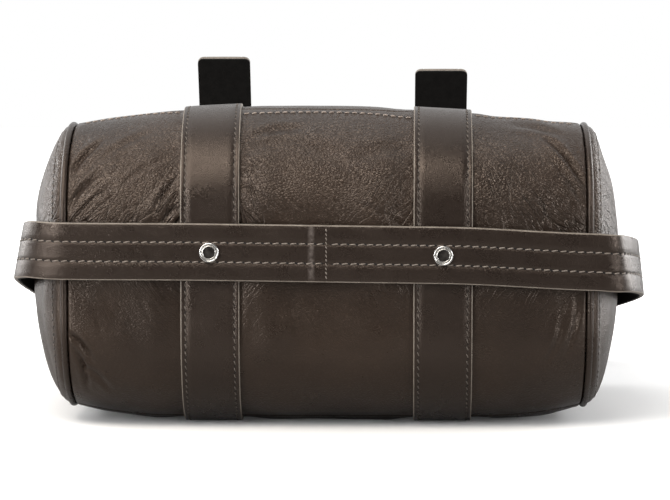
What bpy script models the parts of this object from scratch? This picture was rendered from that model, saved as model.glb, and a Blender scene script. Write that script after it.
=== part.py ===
"""Leather bowling handbag with a closed zip, lying on its back panel.

+X runs along the bag, the base faces -Y, the mouth faces +Y and +Z is up. The origin is the bottom
centre of the whole object's box. The bag stands on its two back bands, which touch z = 0.
"""

import math

import bmesh
import bpy
from mathutils import Matrix, Vector

MM = 0.001

# Clearances
gap = 0.3 * MM              # between pieces that touch
running_gap = 0.5 * MM      # beside what slides or folds

# Leather and board
panel_thickness = 2.0 * MM
lining_thickness = 1.0 * MM
band_thickness = 1.6 * MM
strap_thickness = 2.0 * MM
strap_lining_thickness = 1.2 * MM
board_thickness = 1.8 * MM

# Bag body
bag_length = 272 * MM       # between the two pipings
bag_height = 210 * MM       # base to mouth
bag_top = 168 * MM          # highest point of the front panel
mouth_top = 116 * MM        # front edge of the mouth
base_radius = 50 * MM       # rounding of the base into the back and the front
mouth_radius = 13 * MM      # rounding of the mouth's two edges
front_crown = 10 * MM       # how far the front panel drops towards the pipings
back_crown = 6.5 * MM       # how far the back panel rises towards the pipings
base_crown = 3 * MM         # how far the base recedes towards the pipings
contact_length = 164 * MM   # stretch of the back panel that lies flat
seam_share = 0.80           # where on the base rounding the base panel is sewn to the others
piping_radius = 1.75 * MM
piping_proud = 0.2 * MM     # centre of the piping outside the panels
dome_bulge = 20 * MM        # swell of each end panel beyond its piping
dome_centre = 75 * MM       # highest point of the swell, from the base
dome_drop = 6 * MM          # how far that point lies below the middle of the bag's depth
dome_power = 0.7            # below 1 the swell is fuller towards its rim
lining_overlap = 2 * MM     # the lining's mouth, beyond the flaps' edges
tape_room = 11 * MM         # depth below the mouth face that the lining leaves free

# Bands and rivets
band_width = 30.5 * MM
band_spacing = 120 * MM     # between band centres at the base
band_splay = 3.5 * MM       # how far each band leans outwards by the time it meets the mouth
rivet_cap_radius = 5.1 * MM
rivet_cap_height = 1.6 * MM
rivet_recess_radius = 3.0 * MM
rivet_recess_depth = 0.9 * MM
rivet_recess_slope = 0.4 * MM
rivet_lip = 0.5 * MM        # rounding beside the recess
rivet_lip_height = 0.3 * MM
rivet_shoulder = 0.9 * MM   # rounding of the cap's rim, across and down
rivet_shoulder_height = 1.0 * MM
rivet_stem_radius = 1.9 * MM
rivet_back_radius = 4.6 * MM
rivet_back_thickness = 1.0 * MM
drill_reach = 20 * MM       # how far each hole's cutter runs to both sides
board_margin = 18 * MM      # base board, from each piping

# Cradle strap
strap_width = 29.5 * MM
strap_height = 93.1 * MM    # centre line at the middle of the base
strap_slope = 0.0125        # the strap lies a little lower towards the right
strap_slack = {"left": -0.3 * MM, "right": 2.2 * MM}  # inner face past the bend, beyond the end panels
strap_flare = {"left": 9.0, "right": 5.0}   # degrees by which each half still heads outwards past its bend
strap_lean = {"left": 11, "right": 8}       # degrees by which its lower edge flares outwards there
strap_corner = 24 * MM      # bend round the base's ends
run_steps = 12              # along each end panel
strap_sag = {"left": 0.5 * MM, "right": 2.5 * MM} # how far each half sinks between its rivet and the bend
strap_fall_start = 20 * MM  # where the strap begins to fall to its pivot, past the start of the bend
strap_fall_ease = 0.35      # share of that fall that eases in and out
pivot_run = 32 * MM         # straight stretch before the pivot
lean_end = 35 * MM          # where the flare has gone, before the pivot
round_share = 0.5           # share of the half width over which a round end has close steps
round_steps = (0.35, 0.65, 0.85, 1.0)
round_least = 0.12          # half width left at a round end's tip, as a share

# Carrying handle
pivot_setback = 35 * MM     # pivot rivets, from the mouth
pivot_height = 62 * MM
pivot_overhang = 18.15 * MM # inner face of the cradle strap at the pivot, beyond the rim of the end panel
handle_reach = 190 * MM     # how far the handle lies beyond the mouth
tab_bend = 14 * MM
tab_width = 26 * MM
touch_share = 0.30          # share of the handle's half circle over which it comes down to the floor

# Mouth and zip
flap_thickness = 2.0 * MM
flap_length = 236 * MM
mouth_back_edge = 22 * MM   # where the back panel ends on the mouth face
mouth_front_edge = 102 * MM # where the front panel ends on the mouth face
zip_slot = 9 * MM
tape_thickness = 0.8 * MM
tape_width = 12 * MM
tooth_pitch = 5 * MM
tooth_length = 2.2 * MM
tooth_width = 1.5 * MM
tooth_taper = 0.76          # width of a tooth's tip, as a share of its root
tooth_overlap = 1.0 * MM
chain_spine = 1.6 * MM
chain_thickness = 2.0 * MM
slider_length = 11 * MM
slider_width = 10 * MM
slider_thickness = 1.4 * MM
slider_guide_depth = 1.5 * MM
slider_guide_margin = 1.0 * MM
slider_lug_half = 1.6 * MM
pull_pin_radius = 0.6 * MM
pull_pin_height = 3.5 * MM  # pull's pin above the mouth face
pull_wall = 0.7 * MM
pull_grip = 5 * MM          # how far the link reaches into its leather tab
pocket_overrun = 1.0 * MM   # how far a pocket's cutter stands out of the pocket
pull_lug_width = 1.4 * MM
pull_link_length = 12 * MM
pull_link_width = 4.6 * MM
pull_thickness = 1.2 * MM
pull_tab_length = 30 * MM
pull_tab_width = 10 * MM
slider_closed = 111 * MM    # slider's place when the zip is closed

# Closure straps
closure_lean = 14           # degrees that a closure strap bows out at each end of its run over the mouth
tip_length = {"left": 76 * MM, "right": 68 * MM}
tip_bend = 270 * MM
tip_corner = 3 * MM
tip_corner_steps = (0.4, 0.75, 1.0)
tip_rise = 6 * MM           # where the tip begins, above the mouth's front edge
magnet_radius = 5.5 * MM
magnet_thickness = 1.1 * MM
catch_radius = 6 * MM
catch_thickness = 0.6 * MM
magnet_reach = 52 * MM      # magnet, from where the tip begins

# Steps along curves
mouth_steps = 5
rounding_steps = 8
seam_steps = 3              # round the rest of the rounding, beyond the base panel's seam
flat_steps = 4
panel_steps = 10
board_steps = 8
cord_steps = 8
round_count = 16
strap_step = 10 * MM
handle_step = 15 * MM
tab_step = 4 * MM
panel_shares = (1, 0.95, 0.86, 0.72, 0.5, 0.25)
lining_shares = (1, 0.88, 0.65, 0.33)

LEATHER = ("leather", (0.062, 0.046, 0.037), 0.5, 0.0)
STRAP_LEATHER = ("strap_leather", (0.052, 0.040, 0.034), 0.45, 0.0)
BLACK_LEATHER = ("black_leather", (0.012, 0.012, 0.012), 0.55, 0.0)
LINING_CLOTH = ("lining_cloth", (0.03, 0.028, 0.026), 0.9, 0.0)
BOARD = ("board", (0.16, 0.12, 0.08), 0.9, 0.0)
TAPE = ("tape", (0.03, 0.026, 0.024), 0.85, 0.0)
NICKEL = ("nickel", (0.72, 0.71, 0.69), 0.25, 1.0)
STEEL = ("steel", (0.45, 0.45, 0.46), 0.4, 1.0)

# Places that follow from the driving dimensions
half_length = bag_length / 2
layer_stack = gap + band_thickness + gap + strap_lining_thickness + gap + strap_thickness
base_stack = layer_stack + gap + rivet_cap_height
overall_depth = base_stack + bag_height + handle_reach
base_y = -overall_depth / 2 + base_stack
mouth_y = base_y + bag_height
back_z = gap + band_thickness
strap_face_y = base_y - gap - band_thickness - gap
strap_layers = strap_lining_thickness + gap + strap_thickness
panel_end = half_length - piping_radius - gap
rim_x = half_length + piping_radius + gap
pivot_reach = rim_x + pivot_overhang
pivot_y = mouth_y - pivot_setback
zip_z = (mouth_back_edge + mouth_front_edge) / 2
closure_x = band_spacing / 2 + band_splay
dome_middle = Vector((base_y + dome_centre, (back_z + bag_top) / 2 - dome_drop))
seam_trim = gap / (base_radius * math.pi)   # half a seam's gap, as a share of the rounding
SIDES = {"left": -1, "right": 1}
LAYERS = (
    ("lining", 0, strap_lining_thickness, BLACK_LEATHER),
    ("strap", strap_lining_thickness + gap, strap_layers, STRAP_LEATHER),
)


def clear_scene():
    for old in list(bpy.data.objects):
        bpy.data.objects.remove(old, do_unlink=True)


def finish(material):
    """One Principled material for each named finish."""
    name, colour, roughness, metallic = material
    found = bpy.data.materials.get(name)
    if found:
        return found
    made = bpy.data.materials.new(name)
    made.use_nodes = True
    shader = made.node_tree.nodes["Principled BSDF"]
    shader.inputs["Base Color"].default_value = (*colour, 1)
    shader.inputs["Roughness"].default_value = roughness
    shader.inputs["Metallic"].default_value = metallic
    return made


def add_object(name, bm, material, smooth=True):
    """Turns a bmesh into the named sub-part, with its faces out."""
    bmesh.ops.recalc_face_normals(bm, faces=bm.faces)
    mesh = bpy.data.meshes.new(name)
    bm.to_mesh(mesh)
    bm.free()
    made = bpy.data.objects.new(name, mesh)
    bpy.context.scene.collection.objects.link(made)
    mesh.materials.append(finish(material))
    if smooth:
        mesh.shade_smooth()
        mesh.set_sharp_from_angle(angle=math.radians(35))
    return made


def cutter(tool):
    tool.hide_render = True
    tool.display_type = "WIRE"
    return tool


def boolean(target, tool, operation="DIFFERENCE"):
    """Cuts the target with a tool, or joins it on; the tool stays out of the model."""
    cutter(tool)
    modifier = target.modifiers.new(tool.name, "BOOLEAN")
    modifier.operation = operation
    modifier.object = tool
    modifier.solver = "EXACT"


def set_origin(made, place):
    """Moves a piece's origin on to its joint's axis."""
    made.data.transform(Matrix.Translation(-Vector(place)))
    made.location = place


# Sheets, rings and turned shapes

def slab(name, outer, inner, material):
    """A sheet of even rows of points on its outer and its inner face."""
    bm = bmesh.new()
    rows = len(outer)
    columns = len(outer[0])
    top = [[bm.verts.new(p) for p in row] for row in outer]
    low = [[bm.verts.new(p) for p in row] for row in inner]
    for i in range(rows - 1):
        for j in range(columns - 1):
            bm.faces.new((top[i][j], top[i][j + 1], top[i + 1][j + 1], top[i + 1][j]))
            bm.faces.new((low[i][j], low[i + 1][j], low[i + 1][j + 1], low[i][j + 1]))
    for i in range(rows - 1):
        for j in (0, columns - 1):
            bm.faces.new((top[i][j], top[i + 1][j], low[i + 1][j], low[i][j]))
    for j in range(columns - 1):
        for i in (0, rows - 1):
            bm.faces.new((top[i][j], top[i][j + 1], low[i][j + 1], low[i][j]))
    return add_object(name, bm, material)


def bridge(bm, first, second):
    count = len(first)
    for j in range(count):
        k = (j + 1) % count
        bm.faces.new((first[j], first[k], second[k], second[j]))


def fan(bm, ring, point):
    centre = bm.verts.new(point)
    count = len(ring)
    for j in range(count):
        bm.faces.new((ring[j], ring[(j + 1) % count], centre))


def ball(name, rings, start, end, material):
    """A closed form made of rings between two end points."""
    bm = bmesh.new()
    made = [[bm.verts.new(p) for p in ring] for ring in rings]
    for first, second in zip(made, made[1:]):
        bridge(bm, first, second)
    fan(bm, made[0], start)
    fan(bm, made[-1], end)
    return add_object(name, bm, material)


def hoop(name, rings, material):
    """A closed loop of rings, such as piping."""
    bm = bmesh.new()
    made = [[bm.verts.new(p) for p in ring] for ring in rings]
    for first, second in zip(made, made[1:] + made[:1]):
        bridge(bm, first, second)
    return add_object(name, bm, material)


def turned(name, profile, place, direction, material):
    """A profile of (radius, height) from axis to axis, turned about a direction."""
    turn = Vector((0, 0, 1)).rotation_difference(Vector(direction)).to_matrix()
    bm = bmesh.new()
    edge = [bm.verts.new((r, 0, h)) for r, h in profile]
    lines = [bm.edges.new(pair) for pair in zip(edge, edge[1:])]
    axis = Vector((0, 0, 1))
    bmesh.ops.spin(
        bm, geom=edge + lines, axis=axis, cent=(0, 0, 0), angle=math.tau, steps=round_count, use_merge=True
    )
    bmesh.ops.remove_doubles(bm, verts=bm.verts, dist=MM / 100)
    bmesh.ops.transform(bm, matrix=Matrix.Translation(place) @ turn.to_4x4(), verts=bm.verts)
    return add_object(name, bm, material)


def washer(name, inner, outer, height, place, direction, material):
    """A flat ring, its profile closed round its own hole."""
    turn = Vector((0, 0, 1)).rotation_difference(Vector(direction)).to_matrix()
    move = Matrix.Translation(place) @ turn.to_4x4()
    rings = []
    for k in range(round_count):
        angle = math.tau * k / round_count
        reach = Vector((math.cos(angle), math.sin(angle), 0))
        corners = [(inner, 0), (outer, 0), (outer, height), (inner, height)]
        rings.append([move @ (reach * r + Vector((0, 0, h))) for r, h in corners])
    return hoop(name, rings, material)


def block(name, low, high, material=LEATHER):
    bm = bmesh.new()
    bmesh.ops.create_cube(bm, size=1)
    size = Vector(high) - Vector(low)
    centre = (Vector(high) + Vector(low)) / 2
    bmesh.ops.scale(bm, vec=size, verts=bm.verts)
    bmesh.ops.translate(bm, vec=centre, verts=bm.verts)
    return add_object(name, bm, material, smooth=False)


def disc(name, radius, length, start, direction, material=STEEL):
    """A round pin or plate that runs from a point along a direction."""
    profile = [(0, 0), (radius, 0), (radius, length), (0, length)]
    return turned(name, profile, start, direction, material)


def bore(target, radius, place, direction):
    """A round hole right through a piece."""
    start = Vector(place) - Vector(direction) * drill_reach
    boolean(target, disc(target.name + "_hole", radius, 2 * drill_reach, start, direction))


# Section of the bag across its length

def crowns(x):
    """How far the front, the back and the base draw in at x."""
    share = min(abs(x), half_length) / half_length
    over = max(0, abs(x) - contact_length / 2) / (half_length - contact_length / 2)
    return front_crown * share**2.5, back_crown * min(over, 1) ** 2, base_crown * share**4


def corners(x, inset=0.0, base_inset=0.0):
    """The section's four corners and their radii, from the mouth's back edge round the base to its front."""
    front_drop, back_rise, base_in = crowns(x)
    y0 = base_y + base_in
    centre = Vector((y0 + base_radius, bag_top - front_drop - base_radius))
    to_mouth = Vector((mouth_y, mouth_top)) - centre
    touch = math.atan2(to_mouth.y, to_mouth.x) + math.acos(base_radius / to_mouth.length)
    normal = Vector((math.cos(touch), math.sin(touch)))
    on_line = centre + normal * (base_radius - inset)

    def front_at(y):
        return on_line.y - normal.x / normal.y * (y - on_line.x)

    y0 += inset + base_inset
    y1 = mouth_y - inset
    z0 = back_z + back_rise + inset
    points = [Vector((y1, z0)), Vector((y0, z0)), Vector((y0, front_at(y0))), Vector((y1, front_at(y1)))]
    radii = [mouth_radius - inset, base_radius - inset, base_radius - inset, mouth_radius - inset]
    return points, radii


def fillet(before, corner, after, radius, steps, start=0.0, end=1.0):
    """Points on a corner's arc, from one share of it to another."""
    back = (before - corner).normalized()
    on = (after - corner).normalized()
    half = back.angle(on) / 2
    middle = corner + (back + on).normalized() * (radius / math.sin(half))
    first = corner + back * (radius / math.tan(half)) - middle
    last = corner + on * (radius / math.tan(half)) - middle
    angle = math.atan2(first.y, first.x)
    sweep = (math.atan2(last.y, last.x) - angle + math.pi) % math.tau - math.pi
    angles = [angle + sweep * (start + (end - start) * k / steps) for k in range(steps + 1)]
    return [middle + radius * Vector((math.cos(a), math.sin(a))) for a in angles]


def between(first, last, parts):
    return [first.lerp(last, k / parts) for k in range(1, parts)]


def back_run(x, inset=0.0, trim=seam_trim):
    """Back panel's line, from the mouth to its seam with the base."""
    (c0, c1, c2, c3), (r0, r1, r2, r3) = corners(x, inset)
    mouth = fillet(c3, c0, c1, r0, mouth_steps)
    base = fillet(c0, c1, c2, r1, seam_steps, 0, 1 - seam_share - trim)
    edge = Vector((mouth_y - inset, mouth_back_edge))
    return [edge] + mouth + between(mouth[-1], base[0], flat_steps) + base


def base_run(x, inset=0.0, trim=seam_trim):
    """Base panel's line, from its seam with the back to its seam with the front."""
    (c0, c1, c2, c3), (r0, r1, r2, r3) = corners(x, inset)
    low = fillet(c0, c1, c2, r1, rounding_steps, 1 - seam_share + trim, 1)
    high = fillet(c1, c2, c3, r2, rounding_steps, 0, seam_share - trim)
    return low + between(low[-1], high[0], flat_steps) + high


def front_run(x, inset=0.0, trim=seam_trim):
    """Front panel's line, from its seam with the base to the mouth."""
    (c0, c1, c2, c3), (r0, r1, r2, r3) = corners(x, inset)
    base = fillet(c1, c2, c3, r2, seam_steps, seam_share + trim, 1)
    mouth = fillet(c2, c3, c0, r3, mouth_steps)
    edge = Vector((mouth_y - inset, mouth_front_edge))
    return base + between(base[-1], mouth[0], flat_steps) + mouth + [edge]


def outline(x, inset=0.0, base_inset=0.0, small=4, large=8, parts=3):
    """The whole section as one closed line, with so many steps round its small and its large corners."""
    (c0, c1, c2, c3), (r0, r1, r2, r3) = corners(x, inset, base_inset)
    arcs = [
        fillet(c3, c0, c1, r0, small),
        fillet(c0, c1, c2, r1, large),
        fillet(c1, c2, c3, r2, large),
        fillet(c2, c3, c0, r3, small),
    ]
    line = []
    for arc, following in zip(arcs, arcs[1:] + arcs[:1]):
        line += arc + between(arc[-1], following[0], parts)
    return line


def at(x, points):
    return [Vector((x, p.x, p.y)) for p in points]


def stations(half, count):
    return [-half + 2 * half * k / count for k in range(count + 1)]


def panel(name, run):
    rows = stations(panel_end, panel_steps)
    outer = [at(x, run(x)) for x in rows]
    inner = [at(x, run(x, panel_thickness)) for x in rows]
    return slab(name, outer, inner, LEATHER)


# End panels and lining

def dome_rings(side, edge, shares, bulge, start):
    """Rings of a swollen end from its rim inwards, and its middle point."""
    rings = []
    for share in shares:
        x = start + bulge * (1 - share**2) ** dome_power
        rings.append([Vector((side * x, *(dome_middle.lerp(p, share)))) for p in edge])
    return rings, Vector((side * (start + bulge), *dome_middle))


def end_panel(name, side):
    rim = outline(half_length, gap)
    inner_rim = outline(half_length, gap + panel_thickness)
    outer, outer_tip = dome_rings(side, rim, panel_shares, dome_bulge, rim_x)
    inner, inner_tip = dome_rings(side, inner_rim, panel_shares, dome_bulge - panel_thickness, rim_x)
    return ball(name, outer[::-1] + inner, outer_tip, inner_tip, LEATHER)


def bag_core(name, inset, material):
    """The bag's inside as one closed form, drawn in from its panels."""

    def line(x):
        return outline(x, inset, gap + board_thickness, small=2, large=5, parts=2)

    start = panel_end
    bulge = dome_bulge + rim_x - start - inset
    left, left_tip = dome_rings(-1, line(start), lining_shares, bulge, start)
    right, right_tip = dome_rings(1, line(start), lining_shares, bulge, start)
    middle = [at(x, line(x)) for x in stations(start, 6)[1:-1]]
    return ball(name, left[::-1] + middle + right, left_tip, right_tip, material)


def lining():
    made = bag_core("lining", panel_thickness + 2 * gap, LINING_CLOTH)
    hollow = bag_core("lining_hollow", panel_thickness + 2 * gap + lining_thickness, LINING_CLOTH)
    mouth = block(
        "lining_mouth",
        (-panel_end, mouth_y - tape_room, mouth_back_edge - lining_overlap),
        (panel_end, mouth_y + tape_room, mouth_front_edge + lining_overlap),
    )
    boolean(made, hollow)
    boolean(made, mouth)


def piping(name, side):
    """Round cord that follows the end seam."""
    edge = outline(half_length, -piping_proud)
    count = len(edge)
    rings = []
    for k, point in enumerate(edge):
        along = (edge[(k + 1) % count] - edge[k - 1]).normalized()
        out = Vector((0, along.y, -along.x))
        ring = []
        for j in range(cord_steps):
            angle = math.tau * j / cord_steps
            reach = out * math.cos(angle) + Vector((1, 0, 0)) * math.sin(angle)
            ring.append(Vector((side * half_length, point.x, point.y)) + piping_radius * reach)
        rings.append(ring)
    return hoop(name, rings, LEATHER)


# Bands, board and rivets

def band_middle(y):
    """Distance of a band's centre line from the bag's middle."""
    share = min(1, max(0, (y - base_y) / bag_height))
    return band_spacing / 2 + band_splay * share


def band_grid(side, inset):
    rows = []
    for across in (-1, 0, 1):
        x = band_spacing / 2 + across * band_width / 2
        line = back_run(x, inset, 0)[:-1] + base_run(x, inset, 0) + front_run(x, inset, 0)[1:]
        rows.append([Vector((side * (band_middle(p.x) + across * band_width / 2), p.x, p.y)) for p in line])
    return rows


def band(name, side):
    made = slab(name, band_grid(side, -gap - band_thickness), band_grid(side, -gap), STRAP_LEATHER)
    bore(made, rivet_stem_radius + gap, rivet_place(side), (0, 1, 0))
    point, normal = catch_place(side)
    boolean(made, disc(name + "_catch_pocket", catch_radius + gap, catch_thickness + 2 * gap, point, normal))


def rivet_place(side, depth=0.0):
    """A point on a base rivet's axis, at a depth from the base panel's outer face."""
    x = side * band_spacing / 2
    return Vector((x, base_y + depth, strap_height - strap_slope * x))


def catch_place(side):
    """Where a closure tip's magnet meets the front band: a point on the inner face, and the way out."""
    (c0, c1, c2, c3), radii = corners(band_spacing / 2, -gap)
    along = (c2 - c3).normalized()
    normal = Vector((0, -along.y, along.x))
    if normal.z < 0:
        normal = -normal
    spot = c3 + along * magnet_reach
    return Vector((side * band_middle(spot.x), spot.x, spot.y)) - normal * gap, normal


def catch_plate(name, side):
    point, normal = catch_place(side)
    disc(name, catch_radius, catch_thickness, point + normal * (gap + running_gap) / 2, normal)


def base_board():
    """Stiff board that follows the base panel's inner face over its upright stretch."""
    half = bag_length / 2 - board_margin
    front_drop, back_rise, _ = crowns(half)
    low = back_z + back_rise + base_radius + gap
    high = bag_top - front_drop - base_radius - gap
    outer = []
    inner = []
    for x in stations(half, board_steps):
        face = base_y + crowns(x)[2] + panel_thickness + gap
        outer.append([Vector((x, face, z)) for z in (low, high)])
        inner.append([Vector((x, face + board_thickness, z)) for z in (low, high)])
    made = slab("base_board", outer, inner, BOARD)
    for side in SIDES.values():
        bore(made, rivet_back_radius + gap, rivet_place(side), (0, 1, 0))


def cap_profile():
    """A rivet's ring cap with its recessed middle, from its axis to its seat."""
    height = rivet_cap_height
    ledge = height - rivet_recess_depth
    return [
        (0, ledge),
        (rivet_recess_radius - rivet_recess_slope, ledge),
        (rivet_recess_radius, height - rivet_lip_height),
        (rivet_recess_radius + rivet_lip, height),
        (rivet_cap_radius - rivet_shoulder, height),
        (rivet_cap_radius - rivet_shoulder / 4, height - rivet_shoulder_height / 2),
        (rivet_cap_radius, height - rivet_shoulder_height),
        (rivet_cap_radius, 0),
        (rivet_stem_radius, 0),
    ]


def rivet_cap(name, side):
    """Silver ring cap with a dark recessed middle, and the stem that goes through to the inside."""
    seat = -layer_stack - gap
    stem = panel_thickness + gap + rivet_back_thickness - seat
    profile = cap_profile() + [(rivet_stem_radius, -stem), (0, -stem)]
    turned(name, profile, rivet_place(side, seat), (0, -1, 0), NICKEL)


def rivet_back(name, side):
    place = rivet_place(side, panel_thickness + gap)
    washer(name, rivet_stem_radius + gap, rivet_back_radius, rivet_back_thickness, place, (0, 1, 0), NICKEL)


# Straps that follow a walked path

def walk(start, heading, legs, step):
    """Points and headings along legs of (length, radius or None); left turns are positive."""
    place = Vector(start)
    track = [(place.copy(), heading, 0.0)]
    done = 0.0
    for length, radius in legs:
        parts = max(1, round(length / step))
        piece = length / parts
        for _ in range(parts):
            turn = piece / radius if radius else 0.0
            chord = 2 * radius * math.sin(turn / 2) if radius else piece
            place = place + chord * Vector((math.cos(heading + turn / 2), math.sin(heading + turn / 2)))
            heading += turn
            done += piece
            track.append((place.copy(), heading, done))
    return track


def smooth(t):
    t = min(1.0, max(0.0, t))
    return t * t * (3 - 2 * t)


def round_end(track, radius, at_start=False):
    """Half widths along a strap whose end is a half circle, as shares of the width."""
    length = track[-1][2]
    shares = []
    for _, _, done in track:
        left = done if at_start else length - done
        short = max(0.0, radius - left)
        shares.append(math.sqrt(max(0.0, radius**2 - short**2)) / radius)
    return [max(round_least, s) for s in shares]


def upright(done):
    """No flare, anywhere along a strap."""
    return 0.0


def strap_grid(track, side, offset, height_at, lean_at, shares, width):
    """The two edges of a strap whose wide faces stand upright, at an offset from its inner face."""
    rows = []
    for across in (-1, 1):
        row = []
        for (place, heading, done), share in zip(track, shares):
            out = Vector((math.sin(heading), -math.cos(heading), 0))
            lean = math.radians(lean_at(done))
            up = Vector((0, 0, math.cos(lean))) - out * math.sin(lean)
            flat = out * math.cos(lean) + Vector((0, 0, math.sin(lean)))
            point = Vector((place.x, place.y, height_at(done)))
            point += flat * offset + up * (across * share * width / 2)
            row.append(Vector((side * point.x, point.y, point.z)))
        rows.append(row)
    return rows


def bowed(last, end):
    """Steps from the last place and heading to an end nearer the mouth, arriving straight along Y."""
    start, heading, done = last
    run = end.y - start.y
    slope = 1 / math.tan(heading)
    steps = []
    place = start
    for k in range(1, run_steps + 1):
        t = k / run_steps
        ease = t * t * (3 - 2 * t)
        x = start.x + (end.x - start.x) * ease + run * slope * t * (1 - t) ** 2
        lie = (end.x - start.x) * 6 * t * (1 - t) + run * slope * (1 - t) * (1 - 3 * t)
        following = Vector((x, start.y + run * t))
        done += (following - place).length
        place = following
        steps.append((place, math.atan2(run, lie), done))
    return steps


def cradle_track(side_name):
    """Cradle strap's inner face, from the middle of the base to just past the pivot."""
    turn = math.pi / 2 - math.radians(strap_flare[side_name])
    widest = rim_x + dome_bulge + strap_slack[side_name]
    straight = widest - strap_corner * math.sin(turn) - gap / 2
    legs = [(straight, None), (strap_corner * turn, strap_corner)]
    track = walk((gap / 2, strap_face_y), 0.0, legs, strap_step)
    track += bowed(track[-1], Vector((pivot_reach, pivot_y - pivot_run)))
    place, heading, done = track[-1]
    legs = [(pivot_run, None), (strap_width / 2 * (1 - round_share), None)]
    track += [(p, h, done + d) for p, h, d in walk(place, heading, legs, strap_step)[1:]]
    track += end_steps(track[-1], strap_width / 2 * round_share, round_steps)
    return track, straight


def end_steps(last, length, shares):
    """Close steps over a strap's end."""
    place, heading, done = last
    ahead = Vector((math.cos(heading), math.sin(heading)))
    return [(place + ahead * length * s, heading, done + length * s) for s in shares]


def cradle(side_name):
    side = SIDES[side_name]
    track, straight = cradle_track(side_name)
    corner_end = straight + strap_corner * math.pi / 2
    pivot_at = track[-1][2] - strap_width / 2
    sag = strap_sag[side_name]
    begin = straight + strap_fall_start
    tilt = side * strap_slope
    fall = strap_height - tilt * begin - sag - pivot_height

    def height_at(done):
        across = sag * smooth((done - band_spacing / 2) / (straight - band_spacing / 2))
        level = strap_height - tilt * min(done, begin) - across
        return level - fall * smooth_run((done - begin) / (pivot_at - begin))

    def lean_at(done):
        rise = smooth((done - straight) / (corner_end - straight))
        fall = smooth((done - corner_end) / (pivot_at - lean_end - corner_end))
        return strap_lean[side_name] * rise * (1 - fall)

    shares = round_end(track, strap_width / 2)
    for suffix, near, far, material in LAYERS:
        outer = strap_grid(track, side, far, height_at, lean_at, shares, strap_width)
        inner = strap_grid(track, side, near, height_at, lean_at, shares, strap_width)
        made = slab(f"{side_name}_cradle_{suffix}", outer, inner, material)
        bore(made, rivet_stem_radius + gap, rivet_place(side), (0, 1, 0))
        bore(made, rivet_stem_radius + gap, pivot_place(side), (side, 0, 0))


def smooth_run(t):
    """Falls nearly evenly, with softer ends."""
    t = min(1.0, max(0.0, t))
    return strap_fall_ease * smooth(t) + (1 - strap_fall_ease) * t


def pivot_place(side, out=0.0):
    """A point on a pivot rivet's axis, at a distance out from the cradle strap's inner face."""
    return Vector((side * (pivot_reach + out), pivot_y, pivot_height))


def strap_tab(name, side):
    """Leather tab that is sewn into the mouth's end seam and carries the pivot rivet."""
    face = pivot_reach - gap
    start_x = half_length + piping_radius + gap
    start_y = mouth_y + panel_thickness
    down = start_y - tab_bend - pivot_y
    run = face - tab_bend - start_x
    legs = [
        (run, None),
        (tab_bend * math.pi / 2, -tab_bend),
        (down, None),
        (tab_width / 2 * (1 - round_share), None),
    ]
    track = walk((start_x, start_y), 0.0, legs, tab_step)
    track = track + end_steps(track[-1], tab_width / 2 * round_share, round_steps)
    shares = round_end(track, tab_width / 2)

    def height_at(done):
        return pivot_height

    outer = strap_grid(track, side, 0, height_at, upright, shares, tab_width)
    inner = strap_grid(track, side, panel_thickness, height_at, upright, shares, tab_width)
    made = slab(name, outer, inner, STRAP_LEATHER)
    bore(made, rivet_stem_radius + gap, pivot_place(side), (side, 0, 0))


def pivot_rivet(name, side):
    """Rivet through tab, cradle strap and handle, with a cap outside and a head inside."""
    seat = 2 * (strap_layers + gap)
    inside = gap + panel_thickness + gap
    depth = seat + inside
    profile = cap_profile() + [
        (rivet_stem_radius, -depth),
        (rivet_back_radius, -depth),
        (rivet_back_radius, -depth - rivet_back_thickness),
        (0, -depth - rivet_back_thickness),
    ]
    turned(name, profile, pivot_place(side, seat), (side, 0, 0), NICKEL)


def handle():
    """Carrying handle: a U from both pivots that comes down to the floor behind the mouth."""
    inner_face = pivot_reach + strap_layers + gap
    crown = mouth_y + handle_reach - strap_layers
    leg = crown - inner_face - pivot_y
    half = strap_width / 2
    ease = half * round_share
    legs = [(leg + half - ease, None), (inner_face * math.pi / 2, inner_face)]
    run = walk((inner_face, pivot_y - half + ease), math.pi / 2, legs, handle_step)
    tip = end_steps((run[0][0], math.pi * 1.5, 0.0), ease, round_steps)
    first = [(place, math.pi / 2, ease - done) for place, _, done in reversed(tip)]
    first += [(place, heading, ease + done) for place, heading, done in run]
    length = 2 * first[-1][2]
    last = [
        (Vector((-place.x, place.y)), math.tau - heading, length - done)
        for place, heading, done in reversed(first[:-1])
    ]
    track = first + last
    touch = leg + inner_face * math.pi * touch_share
    shares_out = round_end(track, half)
    shares_in = round_end(track, half, at_start=True)
    shares = [min(a, b) for a, b in zip(shares_out, shares_in)]

    def height_at(done):
        from_pivot = min(done, length - done) - half
        return pivot_height - (pivot_height - half) * smooth(from_pivot / touch)

    for suffix, near, far, material in LAYERS:
        outer = strap_grid(track, 1, far, height_at, upright, shares, strap_width)
        inner = strap_grid(track, 1, near, height_at, upright, shares, strap_width)
        made = slab(f"handle_{suffix}", outer, inner, material)
        for side in SIDES.values():
            bore(made, rivet_stem_radius + gap, pivot_place(side), (side, 0, 0))
        set_origin(made, (0, pivot_y, pivot_height))


# Mouth and zip

def flap(name, edge, toward):
    """Mouth flap with its zip tape and teeth; toward is +1 where the zip lies above the flap's edge."""
    half = flap_length / 2
    low_y = mouth_y - flap_thickness
    near, far = sorted((edge + toward * running_gap, zip_z - toward * zip_slot / 2))
    plate = block(name + "_flap", (-half, low_y, near), (half, mouth_y, far))
    tape_edge = zip_z - toward * (tooth_overlap / 2 + 2 * gap)
    near, far = sorted((tape_edge, tape_edge - toward * tape_width))
    tape_top = low_y - gap
    tape = block(name + "_zip_tape", (-half, tape_top - tape_thickness, near), (half, tape_top, far), TAPE)
    teeth = zip_chain(name + "_zip_teeth", toward, low_y)
    for made in (plate, tape, teeth):
        set_origin(made, (0, low_y, edge))


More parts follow.
